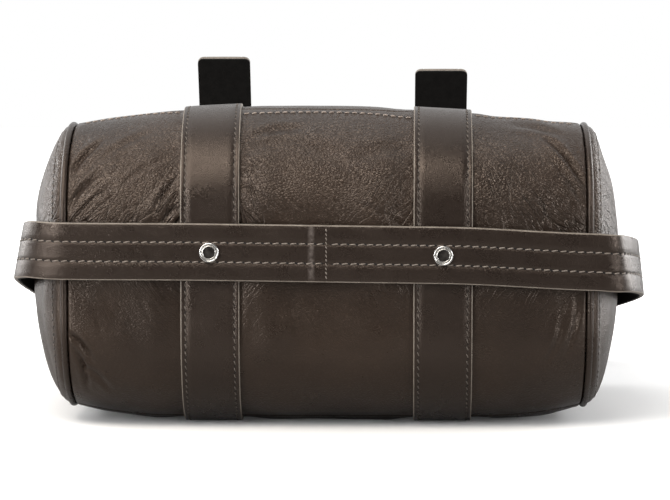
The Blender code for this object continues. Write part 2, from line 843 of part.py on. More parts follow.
def zip_chain(name, toward, low_y):
    """One side of the zip: a spine with teeth that stand between those of the other side."""
    half = flap_length / 2 - running_gap
    tip = zip_z + toward * tooth_overlap / 2
    root = tip - toward * tooth_length
    spine = root - toward * chain_spine
    count = int(2 * half / tooth_pitch) - 1
    first = -count * tooth_pitch / 2 + tooth_pitch / 2 + toward * tooth_pitch / 4
    line = [(-half, spine), (half, spine), (half, root)]
    for k in reversed(range(count)):
        x = first + k * tooth_pitch
        wide = tooth_width / 2
        narrow = wide * tooth_taper
        line += [(x + wide, root), (x + narrow, tip), (x - narrow, tip), (x - wide, root)]
    line.append((-half, root))
    bm = bmesh.new()
    low = [bm.verts.new((x, low_y, z)) for x, z in line]
    face = bm.faces.new(low)
    grown = bmesh.ops.extrude_face_region(bm, geom=[face])
    moved = [v for v in grown["geom"] if isinstance(v, bmesh.types.BMVert)]
    bmesh.ops.translate(bm, vec=(0, chain_thickness, 0), verts=moved)
    return add_object(name, bm, NICKEL, smooth=False)


def mouth_gusset(name, side):
    """Closes the mouth between the flaps' end and the end panel."""
    near = flap_length / 2 + running_gap
    low = (min(side * near, side * panel_end), mouth_y - flap_thickness, mouth_back_edge + gap)
    high = (max(side * near, side * panel_end), mouth_y, mouth_front_edge - gap)
    return block(name, low, high)


def slider():
    """Zip slider: a plate over the teeth, two guides beside them and two lugs with the pull's pin."""
    x = slider_closed
    seat = mouth_y + gap
    inside = seat + slider_thickness / 2
    half = slider_length / 2
    guide_half = half - slider_guide_margin
    made = block(
        "zip_slider",
        (x - half, seat, zip_z - slider_width / 2),
        (x + half, seat + slider_thickness, zip_z + slider_width / 2),
        NICKEL,
    )
    guide_near = tooth_length - tooth_overlap / 2 + chain_spine + gap
    guide_far = zip_slot / 2 - gap
    lug_near = pull_link_width / 2 + gap
    lug_top = mouth_y + pull_pin_height + pull_pin_radius + gap
    for sign in (-1, 1):
        z0, z1 = sorted((zip_z + sign * guide_near, zip_z + sign * guide_far))
        guide = block(
            "slider_guide", (x - guide_half, mouth_y - slider_guide_depth, z0), (x + guide_half, inside, z1)
        )
        boolean(made, guide, "UNION")
        z0, z1 = sorted((zip_z + sign * lug_near, zip_z + sign * (lug_near + pull_lug_width)))
        lug = block("slider_lug", (x - slider_lug_half, inside, z0), (x + slider_lug_half, lug_top, z1))
        boolean(made, lug, "UNION")
    pin_half = lug_near + pull_lug_width / 2
    start = Vector((x, mouth_y + pull_pin_height, zip_z - pin_half))
    boolean(made, disc("slider_pin", pull_pin_radius, 2 * pin_half, start, (0, 0, 1)), "UNION")


def pull():
    """Link that turns on the slider's pin, and the leather tab that it is sewn into."""
    pin = Vector((slider_closed, mouth_y + pull_pin_height, zip_z))
    eye = pull_pin_radius + gap
    half = pull_link_width / 2
    low_y = pin.y - pull_thickness / 2
    high_y = pin.y + pull_thickness / 2
    far_x = pin.x - pull_link_length
    start = pin - Vector((0, 0, half))
    link = disc("zip_pull_link", eye + pull_wall, pull_link_width, start, (0, 0, 1), NICKEL)
    plate = block("link_plate", (far_x, low_y, zip_z - half), (pin.x - eye, high_y, zip_z + half))
    boolean(link, plate, "UNION")
    bore(link, eye, pin, (0, 0, 1))
    set_origin(link, pin)
    tab_start = far_x + pull_grip
    tab_half = pull_tab_width / 2
    tab = block(
        "zip_pull_tab",
        (tab_start - pull_tab_length, low_y - pull_wall, zip_z - tab_half),
        (tab_start, high_y + pull_wall, zip_z + tab_half),
        STRAP_LEATHER,
    )
    pocket = block(
        "tab_pocket",
        (far_x - gap, low_y - gap, zip_z - half - gap),
        (tab_start + pocket_overrun, high_y + gap, zip_z + half + gap),
    )
    boolean(tab, pocket)
    set_origin(tab, pin)


# Closure straps

def closure_grid(track, side, offset, corner=0.0):
    """The two edges of a strap that runs up over the mouth, at an offset out from its inner face."""
    length = track[-1][2]
    rows = []
    for across in (-1, 1):
        row = []
        for place, heading, done in track:
            short = max(0.0, corner - length + done)
            drop = corner - math.sqrt(max(0.0, corner**2 - short**2))
            point = place + outwards(heading) * offset
            x = side * closure_x + across * (band_width / 2 - drop)
            row.append(Vector((x, point.x, point.y)))
        rows.append(row)
    return rows


def outwards(heading):
    """From a strap's inner face towards its outer face."""
    return Vector((math.sin(heading), -math.cos(heading)))


def closure_path(side_name):
    """Track over the mouth, then on along the tip."""
    lean = math.radians(closure_lean)
    root = Vector((mouth_y + gap, mouth_back_edge + gap + strap_layers * math.sin(lean)))
    rise = mouth_top + tip_rise - root.y
    bow = rise / 2 / math.sin(lean)
    over = walk(root, math.pi / 2 - lean, [(bow * 2 * lean, bow)], strap_step)
    place, heading, _ = over[-1]
    ahead = Vector((math.cos(heading), math.sin(heading)))
    legs = [(tip_length[side_name] - tip_corner, tip_bend)]
    tip = walk(place + ahead * running_gap, heading, legs, strap_step)
    return over, tip + end_steps(tip[-1], tip_corner, tip_corner_steps)


def closure(side_name):
    """Strap over the mouth, and its free tip with a magnet let into it."""
    side = SIDES[side_name]
    over, tip = closure_path(side_name)
    place, heading = spot_on(tip, magnet_reach)
    out = Vector((0, *outwards(heading)))
    pocket_floor = Vector((side * closure_x, *place)) + out * (strap_lining_thickness + gap)
    hinge = over[0][0] + outwards(over[0][1]) * strap_layers
    closure_origin = Vector((side * closure_x, *hinge))
    tip_origin = Vector((side * closure_x, *tip[0][0]))
    for suffix, near, far, material in LAYERS:
        grids = [closure_grid(over, side, offset) for offset in (far, near)]
        set_origin(slab(f"{side_name}_closure_{suffix}", *grids, material), closure_origin)
        grids = [closure_grid(tip, side, offset, tip_corner) for offset in (far, near)]
        made = slab(f"{side_name}_tip_{suffix}", *grids, material)
        if suffix == "strap":
            start = pocket_floor - out * pocket_overrun
            depth = pocket_overrun + magnet_thickness + gap
            boolean(made, disc(side_name + "_magnet_pocket", magnet_radius + gap, depth, start, out))
        set_origin(made, tip_origin)
    magnet = disc(side_name + "_tip_magnet", magnet_radius, magnet_thickness, pocket_floor, out)
    set_origin(magnet, tip_origin)


def spot_on(track, distance):
    """Place and heading at a distance along a track."""
    for (p0, h0, d0), (p1, h1, d1) in zip(track, track[1:]):
        if d1 >= distance:
            share = (distance - d0) / (d1 - d0)
            return p0.lerp(p1, share), h0 + (h1 - h0) * share
    return track[-1][0], track[-1][1]


def build():
    clear_scene()
    base = panel("base_panel", base_run)
    for side in SIDES.values():
        bore(base, rivet_stem_radius + gap, rivet_place(side), (0, 1, 0))
    panel("front_panel", front_run)
    panel("back_panel", back_run)
    lining()
    base_board()
    for side_name, side in SIDES.items():
        end_panel(side_name + "_end_panel", side)
        piping(side_name + "_piping", side)
        band(side_name + "_band", side)
        catch_plate(side_name + "_catch_plate", side)
        rivet_cap(side_name + "_rivet_cap", side)
        rivet_back(side_name + "_rivet_back", side)
        cradle(side_name)
        strap_tab(side_name + "_strap_tab", side)
        pivot_rivet(side_name + "_pivot_rivet", side)
        mouth_gusset(side_name + "_mouth_gusset", side)
        closure(side_name)
    handle()
    flap("front", mouth_front_edge, -1)
    flap("back", mouth_back_edge, 1)
    slider()
    pull()


build()
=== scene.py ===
"""Leather bowling handbag that lies on its back panel, its base towards the camera."""

import random
from math import acos, atan2, cos, exp, pi, radians, sin, sqrt, tan, tanh, tau

import bmesh
import bpy
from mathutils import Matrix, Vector, noise


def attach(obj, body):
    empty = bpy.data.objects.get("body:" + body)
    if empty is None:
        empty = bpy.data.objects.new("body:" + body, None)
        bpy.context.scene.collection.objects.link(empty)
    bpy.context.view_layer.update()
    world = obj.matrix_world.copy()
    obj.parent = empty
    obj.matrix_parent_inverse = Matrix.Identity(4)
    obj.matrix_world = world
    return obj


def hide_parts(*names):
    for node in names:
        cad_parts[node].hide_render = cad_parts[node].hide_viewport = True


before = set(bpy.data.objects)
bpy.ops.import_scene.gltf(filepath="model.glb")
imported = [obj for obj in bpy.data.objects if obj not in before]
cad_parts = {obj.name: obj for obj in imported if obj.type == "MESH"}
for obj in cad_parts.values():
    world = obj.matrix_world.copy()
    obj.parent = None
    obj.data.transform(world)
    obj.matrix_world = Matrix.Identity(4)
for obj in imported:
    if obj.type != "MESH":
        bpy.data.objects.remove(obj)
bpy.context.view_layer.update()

MM = 0.001
SIDES = {"left": -1, "right": 1}
X, Y, Z = (Vector(v) for v in ((1, 0, 0), (0, 1, 0), (0, 0, 1)))
scene = bpy.context.scene

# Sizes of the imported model
gap = 0.3 * MM
running_gap = 0.5 * MM
panel_thickness = 2.0 * MM
band_thickness = 1.6 * MM
strap_thickness = 2.0 * MM
strap_lining = 1.2 * MM
bag_length = 272 * MM
bag_height = 210 * MM
bag_top = 168 * MM
mouth_top = 116 * MM
base_radius = 50 * MM
mouth_radius = 13 * MM
front_crown = 10 * MM
back_crown = 6.5 * MM
base_crown = 3 * MM
contact_length = 164 * MM
piping_radius = 1.75 * MM
dome_bulge = 20 * MM
dome_centre = 75 * MM
dome_drop = 6 * MM
dome_power = 0.7
band_width = 30.5 * MM
band_spacing = 120 * MM
band_splay = 3.5 * MM
rivet_cap_radius = 5.1 * MM
rivet_cap_height = 1.6 * MM
rivet_recess_radius = 3.0 * MM
rivet_stem_radius = 1.9 * MM
strap_width = 29.5 * MM
strap_height = 93.1 * MM
strap_slope = 0.0125
strap_slack = {"left": -0.3 * MM, "right": 2.2 * MM}
strap_lean = {"left": 11, "right": 8}
strap_sag = {"left": 0.5 * MM, "right": 2.5 * MM}
strap_fall_ease = 0.35
pivot_run = 32 * MM
lean_end = 35 * MM
pivot_setback = 35 * MM
pivot_height = 62 * MM
pivot_overhang = 18.15 * MM
handle_reach = 190 * MM
touch_share = 0.30
tab_bend = 14 * MM
tab_width = 26 * MM
flap_thickness = 2.0 * MM
flap_length = 236 * MM
mouth_back_edge = 22 * MM
mouth_front_edge = 102 * MM
zip_slot = 9 * MM
closure_lean = 14
tip_length = {"left": 76 * MM, "right": 68 * MM}
tip_bend = 270 * MM
tip_corner = 3 * MM
tip_rise = 6 * MM

half_length = bag_length / 2
strap_layers = strap_lining + gap + strap_thickness
layer_stack = gap + band_thickness + gap + strap_layers
base_stack = layer_stack + gap + rivet_cap_height
base_y = -(base_stack + bag_height + handle_reach) / 2 + base_stack
mouth_y = base_y + bag_height
back_z = gap + band_thickness
strap_face_y = base_y - gap - band_thickness - gap
panel_end = half_length - piping_radius - gap
rim_x = half_length + piping_radius + gap
pivot_reach = rim_x + pivot_overhang
pivot_y = mouth_y - pivot_setback
zip_z = (mouth_back_edge + mouth_front_edge) / 2
closure_x = band_spacing / 2 + band_splay
dome_middle = Vector((base_y + dome_centre, (back_z + bag_top) / 2 - dome_drop))

# The strap's bend at each end of the base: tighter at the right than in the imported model
strap_flare = {"left": 9.0, "right": 27.0}
strap_corner = {"left": 24 * MM, "right": 7 * MM}
strap_bend_in = {"left": 0, "right": 9 * MM}
strap_fall_start = {"left": 20 * MM, "right": -4 * MM}

crossing_x = 61 * MM            # where the cradle strap crosses the bands
stitch_row_offset = 5 * MM      # rows of the cradle strap and the handle, from the centre line
edge_row_offset = 2.6 * MM      # rows beside an edge
draw = random.Random(7)


# Materials

class Graph:
    """Adds shader nodes. An input takes a number, a tuple or another node's output."""

    def __init__(self, tree):
        self.nodes, self.links = tree.nodes, tree.links
        self.skin = tree.nodes.get("Principled BSDF")

    def feed(self, node, inputs):
        for name, value in inputs.items():
            if isinstance(value, bpy.types.NodeSocket):
                self.links.new(value, node.inputs[name])
            else:
                node.inputs[name].default_value = value

    def add(self, kind, inputs, output=0, **settings):
        """A new node's output, or all its outputs where output is None."""
        made = self.nodes.new("ShaderNode" + kind)
        for key, value in settings.items():
            setattr(made, key, value)
        self.feed(made, inputs)
        return made.outputs if output is None else made.outputs[output]

    def own(self):
        """The object's own coordinates, in metres."""
        return self.add("TexCoord", {}, "Object")

    def turned(self, vector, angle, scale):
        """Turns a vector about Y and then stretches it."""
        turn = self.add("Mapping", {"Vector": vector, "Rotation": (0, angle, 0)})
        return self.add("Mapping", {"Vector": turn, "Scale": scale})

    def math(self, operation, first, second=0):
        return self.add("Math", {0: first, 1: second}, operation=operation)

    def times(self, first, *others):
        for other in others:
            first = self.math("MULTIPLY", first, other)
        return first

    def distance(self, value, middle):
        return self.math("ABSOLUTE", self.math("SUBTRACT", value, middle))

    def vector(self, operation, *values, output=0):
        return self.add("VectorMath", dict(enumerate(values)), output, operation=operation)

    def noise(self, vector, scale, detail=3.0, rough=0.55, output="Fac"):
        inputs = {"Vector": vector, "Scale": scale, "Detail": detail, "Roughness": rough}
        return self.add("TexNoise", inputs, output)

    def spread(self, value, low, high, to_low=0.0, to_high=1.0):
        """A value taken from one range to another and kept inside it."""
        ends = {"From Min": low, "From Max": high, "To Min": to_low, "To Max": to_high}
        return self.add("MapRange", {"Value": value, **ends})

    def mixed(self, factor, first, second):
        inputs = {"Factor": factor, "A": first, "B": second}
        return self.add("Mix", inputs, "Result", data_type="RGBA")

    def bump(self, height, distance, before=None):
        inputs = {"Height": height, "Distance": distance, "Strength": 1.0}
        return self.add("Bump", {**inputs, "Normal": before} if before else inputs)


def material(name):
    made = bpy.data.materials.new(name)
    made.use_nodes = True
    return made, Graph(made.node_tree)


def fan_of_creases(g, plain):
    """Fine creases that fan out from where the belt crosses the bands.

    Gives their heights, their weight, the grain's coordinates and the grain's weight.
    """
    x, y, z = g.add("SeparateXYZ", {0: plain}, None)
    beyond = g.math("SUBTRACT", g.math("ABSOLUTE", x), crossing_x)
    above = g.math("SUBTRACT", z, strap_height)
    across, up = g.math("ABSOLUTE", beyond), g.math("ABSOLUTE", above)
    apart = y
    for value, step in ((beyond, 7.0), (above, 13.0)):
        apart = g.math("ADD", apart, g.times(g.math("GREATER_THAN", value), step))
    fan = g.add("CombineXYZ", {0: across, 1: apart, 2: up})
    sway = g.noise(plain, 32, 2.0, 0.5, "Color")
    bent = g.vector("MULTIPLY_ADD", sway, (14 * MM, 0, 14 * MM), fan)
    heights = []
    for angle, scale, width in ((-54, (36, 60, 230), 0.030), (-46, (70, 90, 470), 0.07)):
        lines = g.noise(g.turned(bent, radians(angle), scale), 1.0, 0.6, 0.5)
        heights.append(g.spread(g.distance(lines, 0.5), 0.0, width))
    weight = g.times(
        g.spread(up, 18 * MM, 60 * MM, 1.0, 0.15),
        g.spread(beyond, -58 * MM, -18 * MM),
        g.spread(z, 70 * MM, 105 * MM, 0.18, 1.0),
        g.spread(g.noise(plain, 24, 2), 0.36, 0.60, 0.12, 1.0),
    )
    drawn = g.turned(plain, radians(-16), (0.62, 0.9, 1.15))
    return heights, weight, drawn, g.spread(z, 98 * MM, 140 * MM, 0.42, 1.15)


def leather(name, dark, light, cell, grain_depth, gloss, valley, crease_depth=0.0, painted_highlight_x=None):
    """Grained hide: pebbles of a cell's size, mottled colour and uneven gloss.

    valley gives the painted shade between the pebbles and the painted light on them. The last argument
    places a painted highlight, which stands in for the light on a crease, where the crease crosses the
    base.
    """
    made, g = material(name)
    plain = g.own()
    mottle = g.spread(g.noise(plain, 16, 6, 0.62), 0.32, 0.68)
    colour = g.mixed(mottle, (*dark, 1), (*light, 1))
    if painted_highlight_x is not None:
        # Painted highlight: a pale stripe across the belt stands in for the light caught by a crease,
        # broken up by noise.
        x, y, _ = g.add("SeparateXYZ", {0: plain}, None)
        behind = g.math("SUBTRACT", 1, g.math("LESS_THAN", y, base_y))
        away = g.math("ADD", g.distance(x, painted_highlight_x), behind)
        highlight_breakup = g.spread(g.noise(plain, 420, 3), 0.35, 0.6, 0.25, 1.0)
        painted_highlight = g.times(g.spread(away, 0.4 * MM, 2.0 * MM, 0.75, 0.0), highlight_breakup)
        colour = g.mixed(painted_highlight, colour, (0.13, 0.11, 0.10, 1))
    heights, weight, lie, calm = fan_of_creases(g, plain) if crease_depth else ((), 0, plain, 1)
    warp = g.noise(plain, 0.5 / cell, 2.0, 0.5, "Color")
    pebbles = {"Vector": g.vector("MULTIPLY_ADD", warp, (0.6 * cell,) * 3, lie), "Scale": 1 / cell}
    edges = g.add("TexVoronoi", pebbles, "Distance", feature="DISTANCE_TO_EDGE")
    grain = g.times(g.spread(edges, 0.0, 0.42), calm)
    normal = g.bump(grain, grain_depth)
    # Painted shade and light: the colour is darkened in the grain's valleys and lightened on the pebbles'
    # tops.
    shade = g.spread(grain, 0.0, 1.0, *valley)
    for height, share in zip(heights, (1.0, 0.55)):
        normal = g.bump(g.times(height, weight), crease_depth * share, normal)
        # Painted shade: the colour is darkened along the crease lines.
        deep = g.times(g.math("SUBTRACT", 1, height), weight)
        shade = g.times(shade, g.spread(deep, 0.0, 1.0, 1.0, 0.45))
    painted_shade_factor = g.add("CombineXYZ", {0: shade, 1: shade, 2: shade})
    g.feed(g.skin, {
        "Base Color": g.vector("MULTIPLY", colour, painted_shade_factor),
        "Roughness": g.spread(g.noise(plain, 60, 4), 0.3, 0.7, gloss - 0.05, gloss + 0.08),
        "Specular IOR Level": 0.5,
        "Specular Tint": (1.0, 0.82, 0.70, 1),
        "Normal": g.bump(g.noise(plain, 560, 2, 0.5), grain_depth * 0.3, normal),
    })
    return made


def plain_material(name, dark, light, scale, rough, metallic=0, depth=0.00005, bumps=1500, specular=0.5):
    made, g = material(name)
    plain = g.own()
    mix = g.spread(g.noise(plain, scale, 4), 0.35, 0.65)
    g.feed(g.skin, {
        "Base Color": g.mixed(mix, (*dark, 1), (*light, 1)),
        "Roughness": g.spread(mix, 0, 1, rough - 0.04, rough + 0.05),
        "Metallic": metallic,
        "Specular IOR Level": specular,
        "Normal": g.bump(g.noise(plain, bumps, 2), depth),
    })
    return made


def weave(name, dark, light, pitch):
    """Plain-woven cloth or tape: crossed threads at their real pitch."""
    made, g = material(name)
    waves = []
    for angle in (0, pi / 2):
        lie = g.turned(g.own(), angle, (1, 1, 1))
        threads = {"Vector": lie, "Scale": 1 / pitch / 3.2, "Distortion": 0.4}
        waves.append(g.add("TexWave", threads, "Fac"))
    both = g.times(*waves)
    g.feed(g.skin, {
        "Base Color": g.mixed(both, (*dark, 1), (*light, 1)),
        "Roughness": 0.85,
        "Sheen Weight": 0.15,
        "Normal": g.bump(both, pitch / 4),
    })
    return made


def thread_material(name, dark, light, rough=0.55):
    return plain_material(name, dark, light, 900, rough, depth=0.0001)


BROWN = leather(
    "bag_leather", (0.0205, 0.0135, 0.0103), (0.04, 0.0263, 0.019), 1.12 * MM, 0.00023, 0.3, (0.5, 1.2),
    crease_depth=0.00048,
)
STRAP = leather(
    "belt_leather", (0.014, 0.0096, 0.0078), (0.02, 0.0141, 0.0113), 0.8 * MM, 0.00007, 0.28, (0.85, 1.05),
    # painted highlight of a crease across the belt, at this x
    painted_highlight_x=-7.7 * MM,
)
BLACK = plain_material(
    "black_suede", (0.004, 0.0037, 0.0034), (0.007, 0.0065, 0.006), 300, 0.8, depth=0.0001, specular=0.15
)
EDGE = plain_material("cut_edge", (0.15, 0.125, 0.102), (0.21, 0.18, 0.15), 200, 0.5)
DULL_THREAD = thread_material("band_thread", (0.07, 0.056, 0.046), (0.13, 0.108, 0.09), 0.6)
SEAM_THREAD = thread_material("seam_thread", (0.23, 0.185, 0.155), (0.34, 0.28, 0.24))
THREAD = thread_material("thread", (0.15, 0.125, 0.105), (0.23, 0.195, 0.165))
# Painted shade of the stitch holes, on thin discs that lie on the leather.
HOLE_PAINTED_SHADE = plain_material("stitch_hole", (0.002, 0.0015, 0.0015), (0.004, 0.003, 0.003), 900, 0.9)
NICKEL = plain_material(
    "polished_nickel", (0.66, 0.65, 0.63), (0.74, 0.73, 0.71), 150, 0.17, 1.0, 0.00002, 700
)
# Painted reflection and shade: the polished middle of the rivets, which mirrors dark surroundings down in
# its recess, is made dark metal.
NICKEL_PAINTED_DARK = plain_material("nickel_painted_reflection_and_shade", (0.03, 0.027, 0.025), (0.07, 0.065, 0.06), 300, 0.5, 1.0)
# The ring's groove where the lettering is engraved: rough and bumpy, and darkened with painted shade of the
# engraving.
NICKEL_LETTERING_SHADE = plain_material(
    "nickel_lettering_groove_painted_shade", (0.34, 0.33, 0.31), (0.6, 0.58, 0.55), 900, 0.34, 1.0, 0.00012, 1300
)
STEEL = plain_material("plain_steel", (0.4, 0.4, 0.41), (0.48, 0.48, 0.49), 150, 0.35, 1.0)
CLOTH = weave("lining_weave", (0.018, 0.017, 0.016), (0.04, 0.037, 0.034), 0.6 * MM)
TAPE = weave("zip_tape_weave", (0.016, 0.014, 0.013), (0.04, 0.035, 0.032), 0.8 * MM)
BOARD = plain_material("fibre_board", (0.12, 0.09, 0.06), (0.18, 0.14, 0.1), 80, 0.85)


# Meshes

def placed(name, data):
    made = bpy.data.objects.new(name, data)
    scene.collection.objects.link(made)
    return made


def add_piece(name, bm, materials, body, node=None, sharp=38):
    bmesh.ops.recalc_face_normals(bm, faces=bm.faces)
    mesh = bpy.data.meshes.new(name)
    bm.to_mesh(mesh)
    bm.free()
    for material in materials:
        mesh.materials.append(material)
    mesh.shade_smooth()
    mesh.set_sharp_from_angle(angle=radians(sharp))
    made = placed(name, mesh)
    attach(made, body)
    if node:
        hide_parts(node)


def circle(middle, one, other, radius, sides):
    """Points of a circle in the plane of two directions."""
    angles = [tau * j / sides for j in range(sides)]
    return [middle + one * (radius * cos(a)) + other * (radius * sin(a)) for a in angles]


def tube(bm, rings, closed=False, face_materials=None, caps=True):
    """Joins rings of points into a closed body; face_materials gives a material index for each column."""
    made = [[bm.verts.new(p) for p in ring] for ring in rings]
    count = len(rings[0])
    for first, second in zip(made, made[1:] + made[:1] * closed):
        for j in range(count):
            k = (j + 1) % count
            face = bm.faces.new((first[j], first[k], second[k], second[j]))
            if face_materials:
                face.material_index = face_materials[j]
    if caps and not closed:
        for ring in (made[0], made[-1]):
            face = bm.faces.new(ring)
            if face_materials:
                face.material_index = 1
    return made


def shell(bm, outer, inner):
    """A closed sheet between two grids of points."""
    rows, columns = len(outer), len(outer[0])
    top, low = ([[bm.verts.new(p) for p in row] for row in grid] for grid in (outer, inner))
    for made in (top, low):
        for i in range(rows - 1):
            for j in range(columns - 1):
                bm.faces.new((made[i][j], made[i][j + 1], made[i + 1][j + 1], made[i + 1][j]))
    rim = [(i, 0) for i in range(rows)] + [(rows - 1, j) for j in range(1, columns)]
    rim += [(i, columns - 1) for i in range(rows - 2, -1, -1)] + [(0, j) for j in range(columns - 2, 0, -1)]
    for (i, j), (m, n) in zip(rim, rim[1:] + rim[:1]):
        bm.faces.new((top[i][j], top[m][n], low[m][n], low[i][j]))


def turned(bm, profile, place, direction, material_of, steps=64):
    """A profile of (radius, height) from axis to axis, turned about a direction."""
    turn = Z.rotation_difference(direction)
    one, other, axis = turn @ X, turn @ Y, turn @ Z
    rings = []
    for radius, height in profile:
        middle = place + axis * height
        points = circle(middle, one, other, radius, steps) if radius else [middle]
        rings.append([bm.verts.new(p) for p in points])
    for number, (first, second) in enumerate(zip(rings, rings[1:])):
        for k in range(steps):
            m = (k + 1) % steps
            around = [ring[j % len(ring)] for ring, j in ((first, k), (first, m), (second, m), (second, k))]
            bm.faces.new(dict.fromkeys(around)).material_index = material_of(number)


# Section of the bag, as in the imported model

def unit(angle):
    return Vector((cos(angle), sin(angle)))


def crowns(x):
    share = min(abs(x), half_length) / half_length
    over = max(0, abs(x) - contact_length / 2) / (half_length - contact_length / 2)
    return front_crown * share**2.5, back_crown * min(over, 1) ** 2, base_crown * share**4


def corners(x, inset=0.0):
    front_drop, back_rise, base_in = crowns(x)
    y0 = base_y + base_in
    centre = Vector((y0 + base_radius, bag_top - front_drop - base_radius))
    to_mouth = Vector((mouth_y, mouth_top)) - centre
    touch = atan2(to_mouth.y, to_mouth.x) + acos(base_radius / to_mouth.length)
    normal = unit(touch)
    on_line = centre + normal * (base_radius - inset)

    def front_at(y):
        return on_line.y - normal.x / normal.y * (y - on_line.x)

    y0 += inset
    y1 = mouth_y - inset
    z0 = back_z + back_rise + inset
    points = [Vector((y1, z0)), Vector((y0, z0)), Vector((y0, front_at(y0))), Vector((y1, front_at(y1)))]
    return points, [r - inset for r in (mouth_radius, base_radius, base_radius, mouth_radius)]


def fillet(before, corner, after, radius, steps, start=0.0, end=1.0):
    back = (before - corner).normalized()
    on = (after - corner).normalized()
    half = back.angle(on) / 2
    middle = corner + (back + on).normalized() * (radius / sin(half))
    first = corner + back * (radius / tan(half)) - middle
    last = corner + on * (radius / tan(half)) - middle
    angle = atan2(first.y, first.x)
    sweep = (atan2(last.y, last.x) - angle + pi) % tau - pi
    angles = [angle + sweep * (start + (end - start) * k / steps) for k in range(steps + 1)]
    return [middle + radius * unit(a) for a in angles]


def front_share(x):
    """Where the base panel is sewn to the front panel, as a share of the rounding."""
    return 0.70 + 0.11 * min(1.0, (abs(x) / (95 * MM)) ** 2)


back_share = 0.80


def rounded(x, inset, number, steps, start=0.0, end=1.0):
    """A corner of the section: 0 mouth below, 1 base below, 2 base above, 3 mouth above."""
    points, radii = corners(x, inset)
    before, corner, after = (points[(number + k) % 4] for k in (-1, 0, 1))
    return fillet(before, corner, after, radii[number], steps, start, end)


def back_run(x, inset=0.0):
    edge = Vector((mouth_y - inset, mouth_back_edge))
    return [edge] + rounded(x, inset, 0, 14) + rounded(x, inset, 1, 10, 0, 1 - back_share)


def base_run(x, inset=0.0):
    return rounded(x, inset, 1, 30, 1 - back_share) + rounded(x, inset, 2, 30, 0, front_share(x))


def front_run(x, inset=0.0):
    edge = Vector((mouth_y - inset, mouth_front_edge))
    return rounded(x, inset, 2, 10, front_share(x)) + rounded(x, inset, 3, 14) + [edge]


def lengths(line):
    total = [0.0]
    for a, b in zip(line, line[1:]):
        total.append(total[-1] + (b - a).length)
    return total


def located(total, wanted):
    """For each wanted distance, the number of its piece of a line and the share along that piece."""
    k = 0
    for want in wanted:
        while k < len(total) - 2 and total[k + 1] < want:
            k += 1
        yield k, (want - total[k]) / max(1e-12, total[k + 1] - total[k])


def sampled(line, places):
    """Points and outward normals of a line at given shares of its length."""
    total = lengths(line)
    found = []
    for k, part in located(total, [share * total[-1] for share in places]):
        along = (line[min(k + 2, len(line) - 1)] - line[max(k - 1, 0)]).normalized()
        found.append((line[k].lerp(line[k + 1], part), Vector((-along.y, along.x))))
    return found


def end_outline(inset, count):
    """Even places round the bag's end."""
    edge = []
    for number, steps in enumerate((14, 30, 30, 14)):
        edge += rounded(half_length, inset, number, steps)
    return [p for p, _ in sampled(edge + edge[:1], [k / count for k in range(count)])]


def spaced(length, step, turn=(0.0, 0.25, 0.7, 1.3, 2.2)):
    """Shares of a length: close steps at both ends and even ones between."""
    ends = [t * MM / length for t in turn]
    count = max(2, round((length - 2 * turn[-1] * MM) / step))
    middle = [ends[-1] + (1 - 2 * ends[-1]) * k / count for k in range(1, count)]
    return ends + middle + [1 - e for e in reversed(ends)]


def band_middle(y):
    share = min(1, max(0, (y - base_y) / bag_height))
    return band_spacing / 2 + band_splay * share


def ramp(distance, reach=1.0):
    """Rises smoothly from 0 to 1 over a reach."""
    t = min(1.0, max(0.0, distance / reach))
    return t * t * (3 - 2 * t)


def turn_in(distance, radius):
    """How deep a folded seam edge dips at a distance from the seam."""
    if distance >= radius:
        return 0.0
    return radius - sqrt(max(0.0, radius**2 - (radius - distance) ** 2))


# Leather panels

def rough(*place):
    return noise.noise(Vector(place))


def hill(distance, width, power=2):
    return exp(-(distance / width) ** power)


FOLDS = (   # x and z where a fold starts and ends, its depth and its width, in millimetres
    (-132, 133, -118, 150, 0.9, 2.6), (-133, 116, -116, 136, 0.8, 2.4), (-132, 106, -112, 128, 0.5, 2.2),
    (-89, 114, -76, 133, 0.7, 2.4), (-84, 107, -75, 119, 0.5, 2.2), (-117, 139, -92, 155, 0.35, 2.6),
    (-104, 128, -84, 142, 0.35, 2.2), (113, 152, 134, 128, 1.0, 2.6), (117, 139, 134, 116, 0.5, 2.4),
    (96, 160, 122, 154, 0.7, 3.0), (104, 128, 118, 106, 0.4, 2.2), (86, 118, 94, 104, 0.35, 2.2),
    (-135, 52, -121, 38, 0.8, 2.6), (-131, 44, -124, 22, 0.7, 2.4), (-127, 34, -112, 22, 0.4, 2.6),
    (129, 70, 125, 42, 0.45, 2.4), (121, 60, 114, 36, 0.35, 2.4), (-40, 152, -12, 158, 0.5, 3.2),
    (-56, 143, -24, 150, 0.35, 6.0), (-16, 148, 12, 139, 0.35, 6.0), (14, 141, 46, 148, 0.35, 6.0),
    (12, 120, 40, 108, 0.3, 2.4), (-44, 128, -20, 112, 0.4, 2.4),
)
fold_deepening = 2.1        # factor on the depths of the table
fold_narrowing = 0.62       # factor on its widths
fold_ridge = 0.4            # height of the ridges beside a fold, as a share of its depth
fold_bow = 1.2
fold_overrun = 0.1          # share of its length by which a fold runs out at each end


def long_folds(x, z):
    """Folds that can be told apart in the photograph, as a valley between two soft ridges.

    The place and the height are in millimetres.
    """
    out = 0.0
    for x0, z0, x1, z1, depth, width in FOLDS:
        along, away = Vector((x1 - x0, z1 - z0)), Vector((x - x0, z - z0))
        share = away.dot(along) / along.length_squared
        if not -fold_overrun < share < 1 + fold_overrun:
            continue
        side = (away.x * along.y - away.y * along.x) / along.length + fold_bow * sin(share * 4.0)
        apart = side / (fold_narrowing * width)
        if abs(apart) < 4:
            end = sin(pi * (share + fold_overrun) / (1 + 2 * fold_overrun))
            section = fold_ridge * hill(abs(apart) - 1.7, 1) - exp(-apart * apart * 1.3)
            out += fold_deepening * depth * end * section
    return out


def settled(x, y, z):
    """How far the right band and the leather beside it have sunk where they turn over the top."""
    corner = ramp(z - 134 * MM, 22 * MM) * ramp(-118 * MM - y, 25 * MM)
    return 1.7 * MM * hill(x - 62 * MM, 27 * MM, 4) * corner


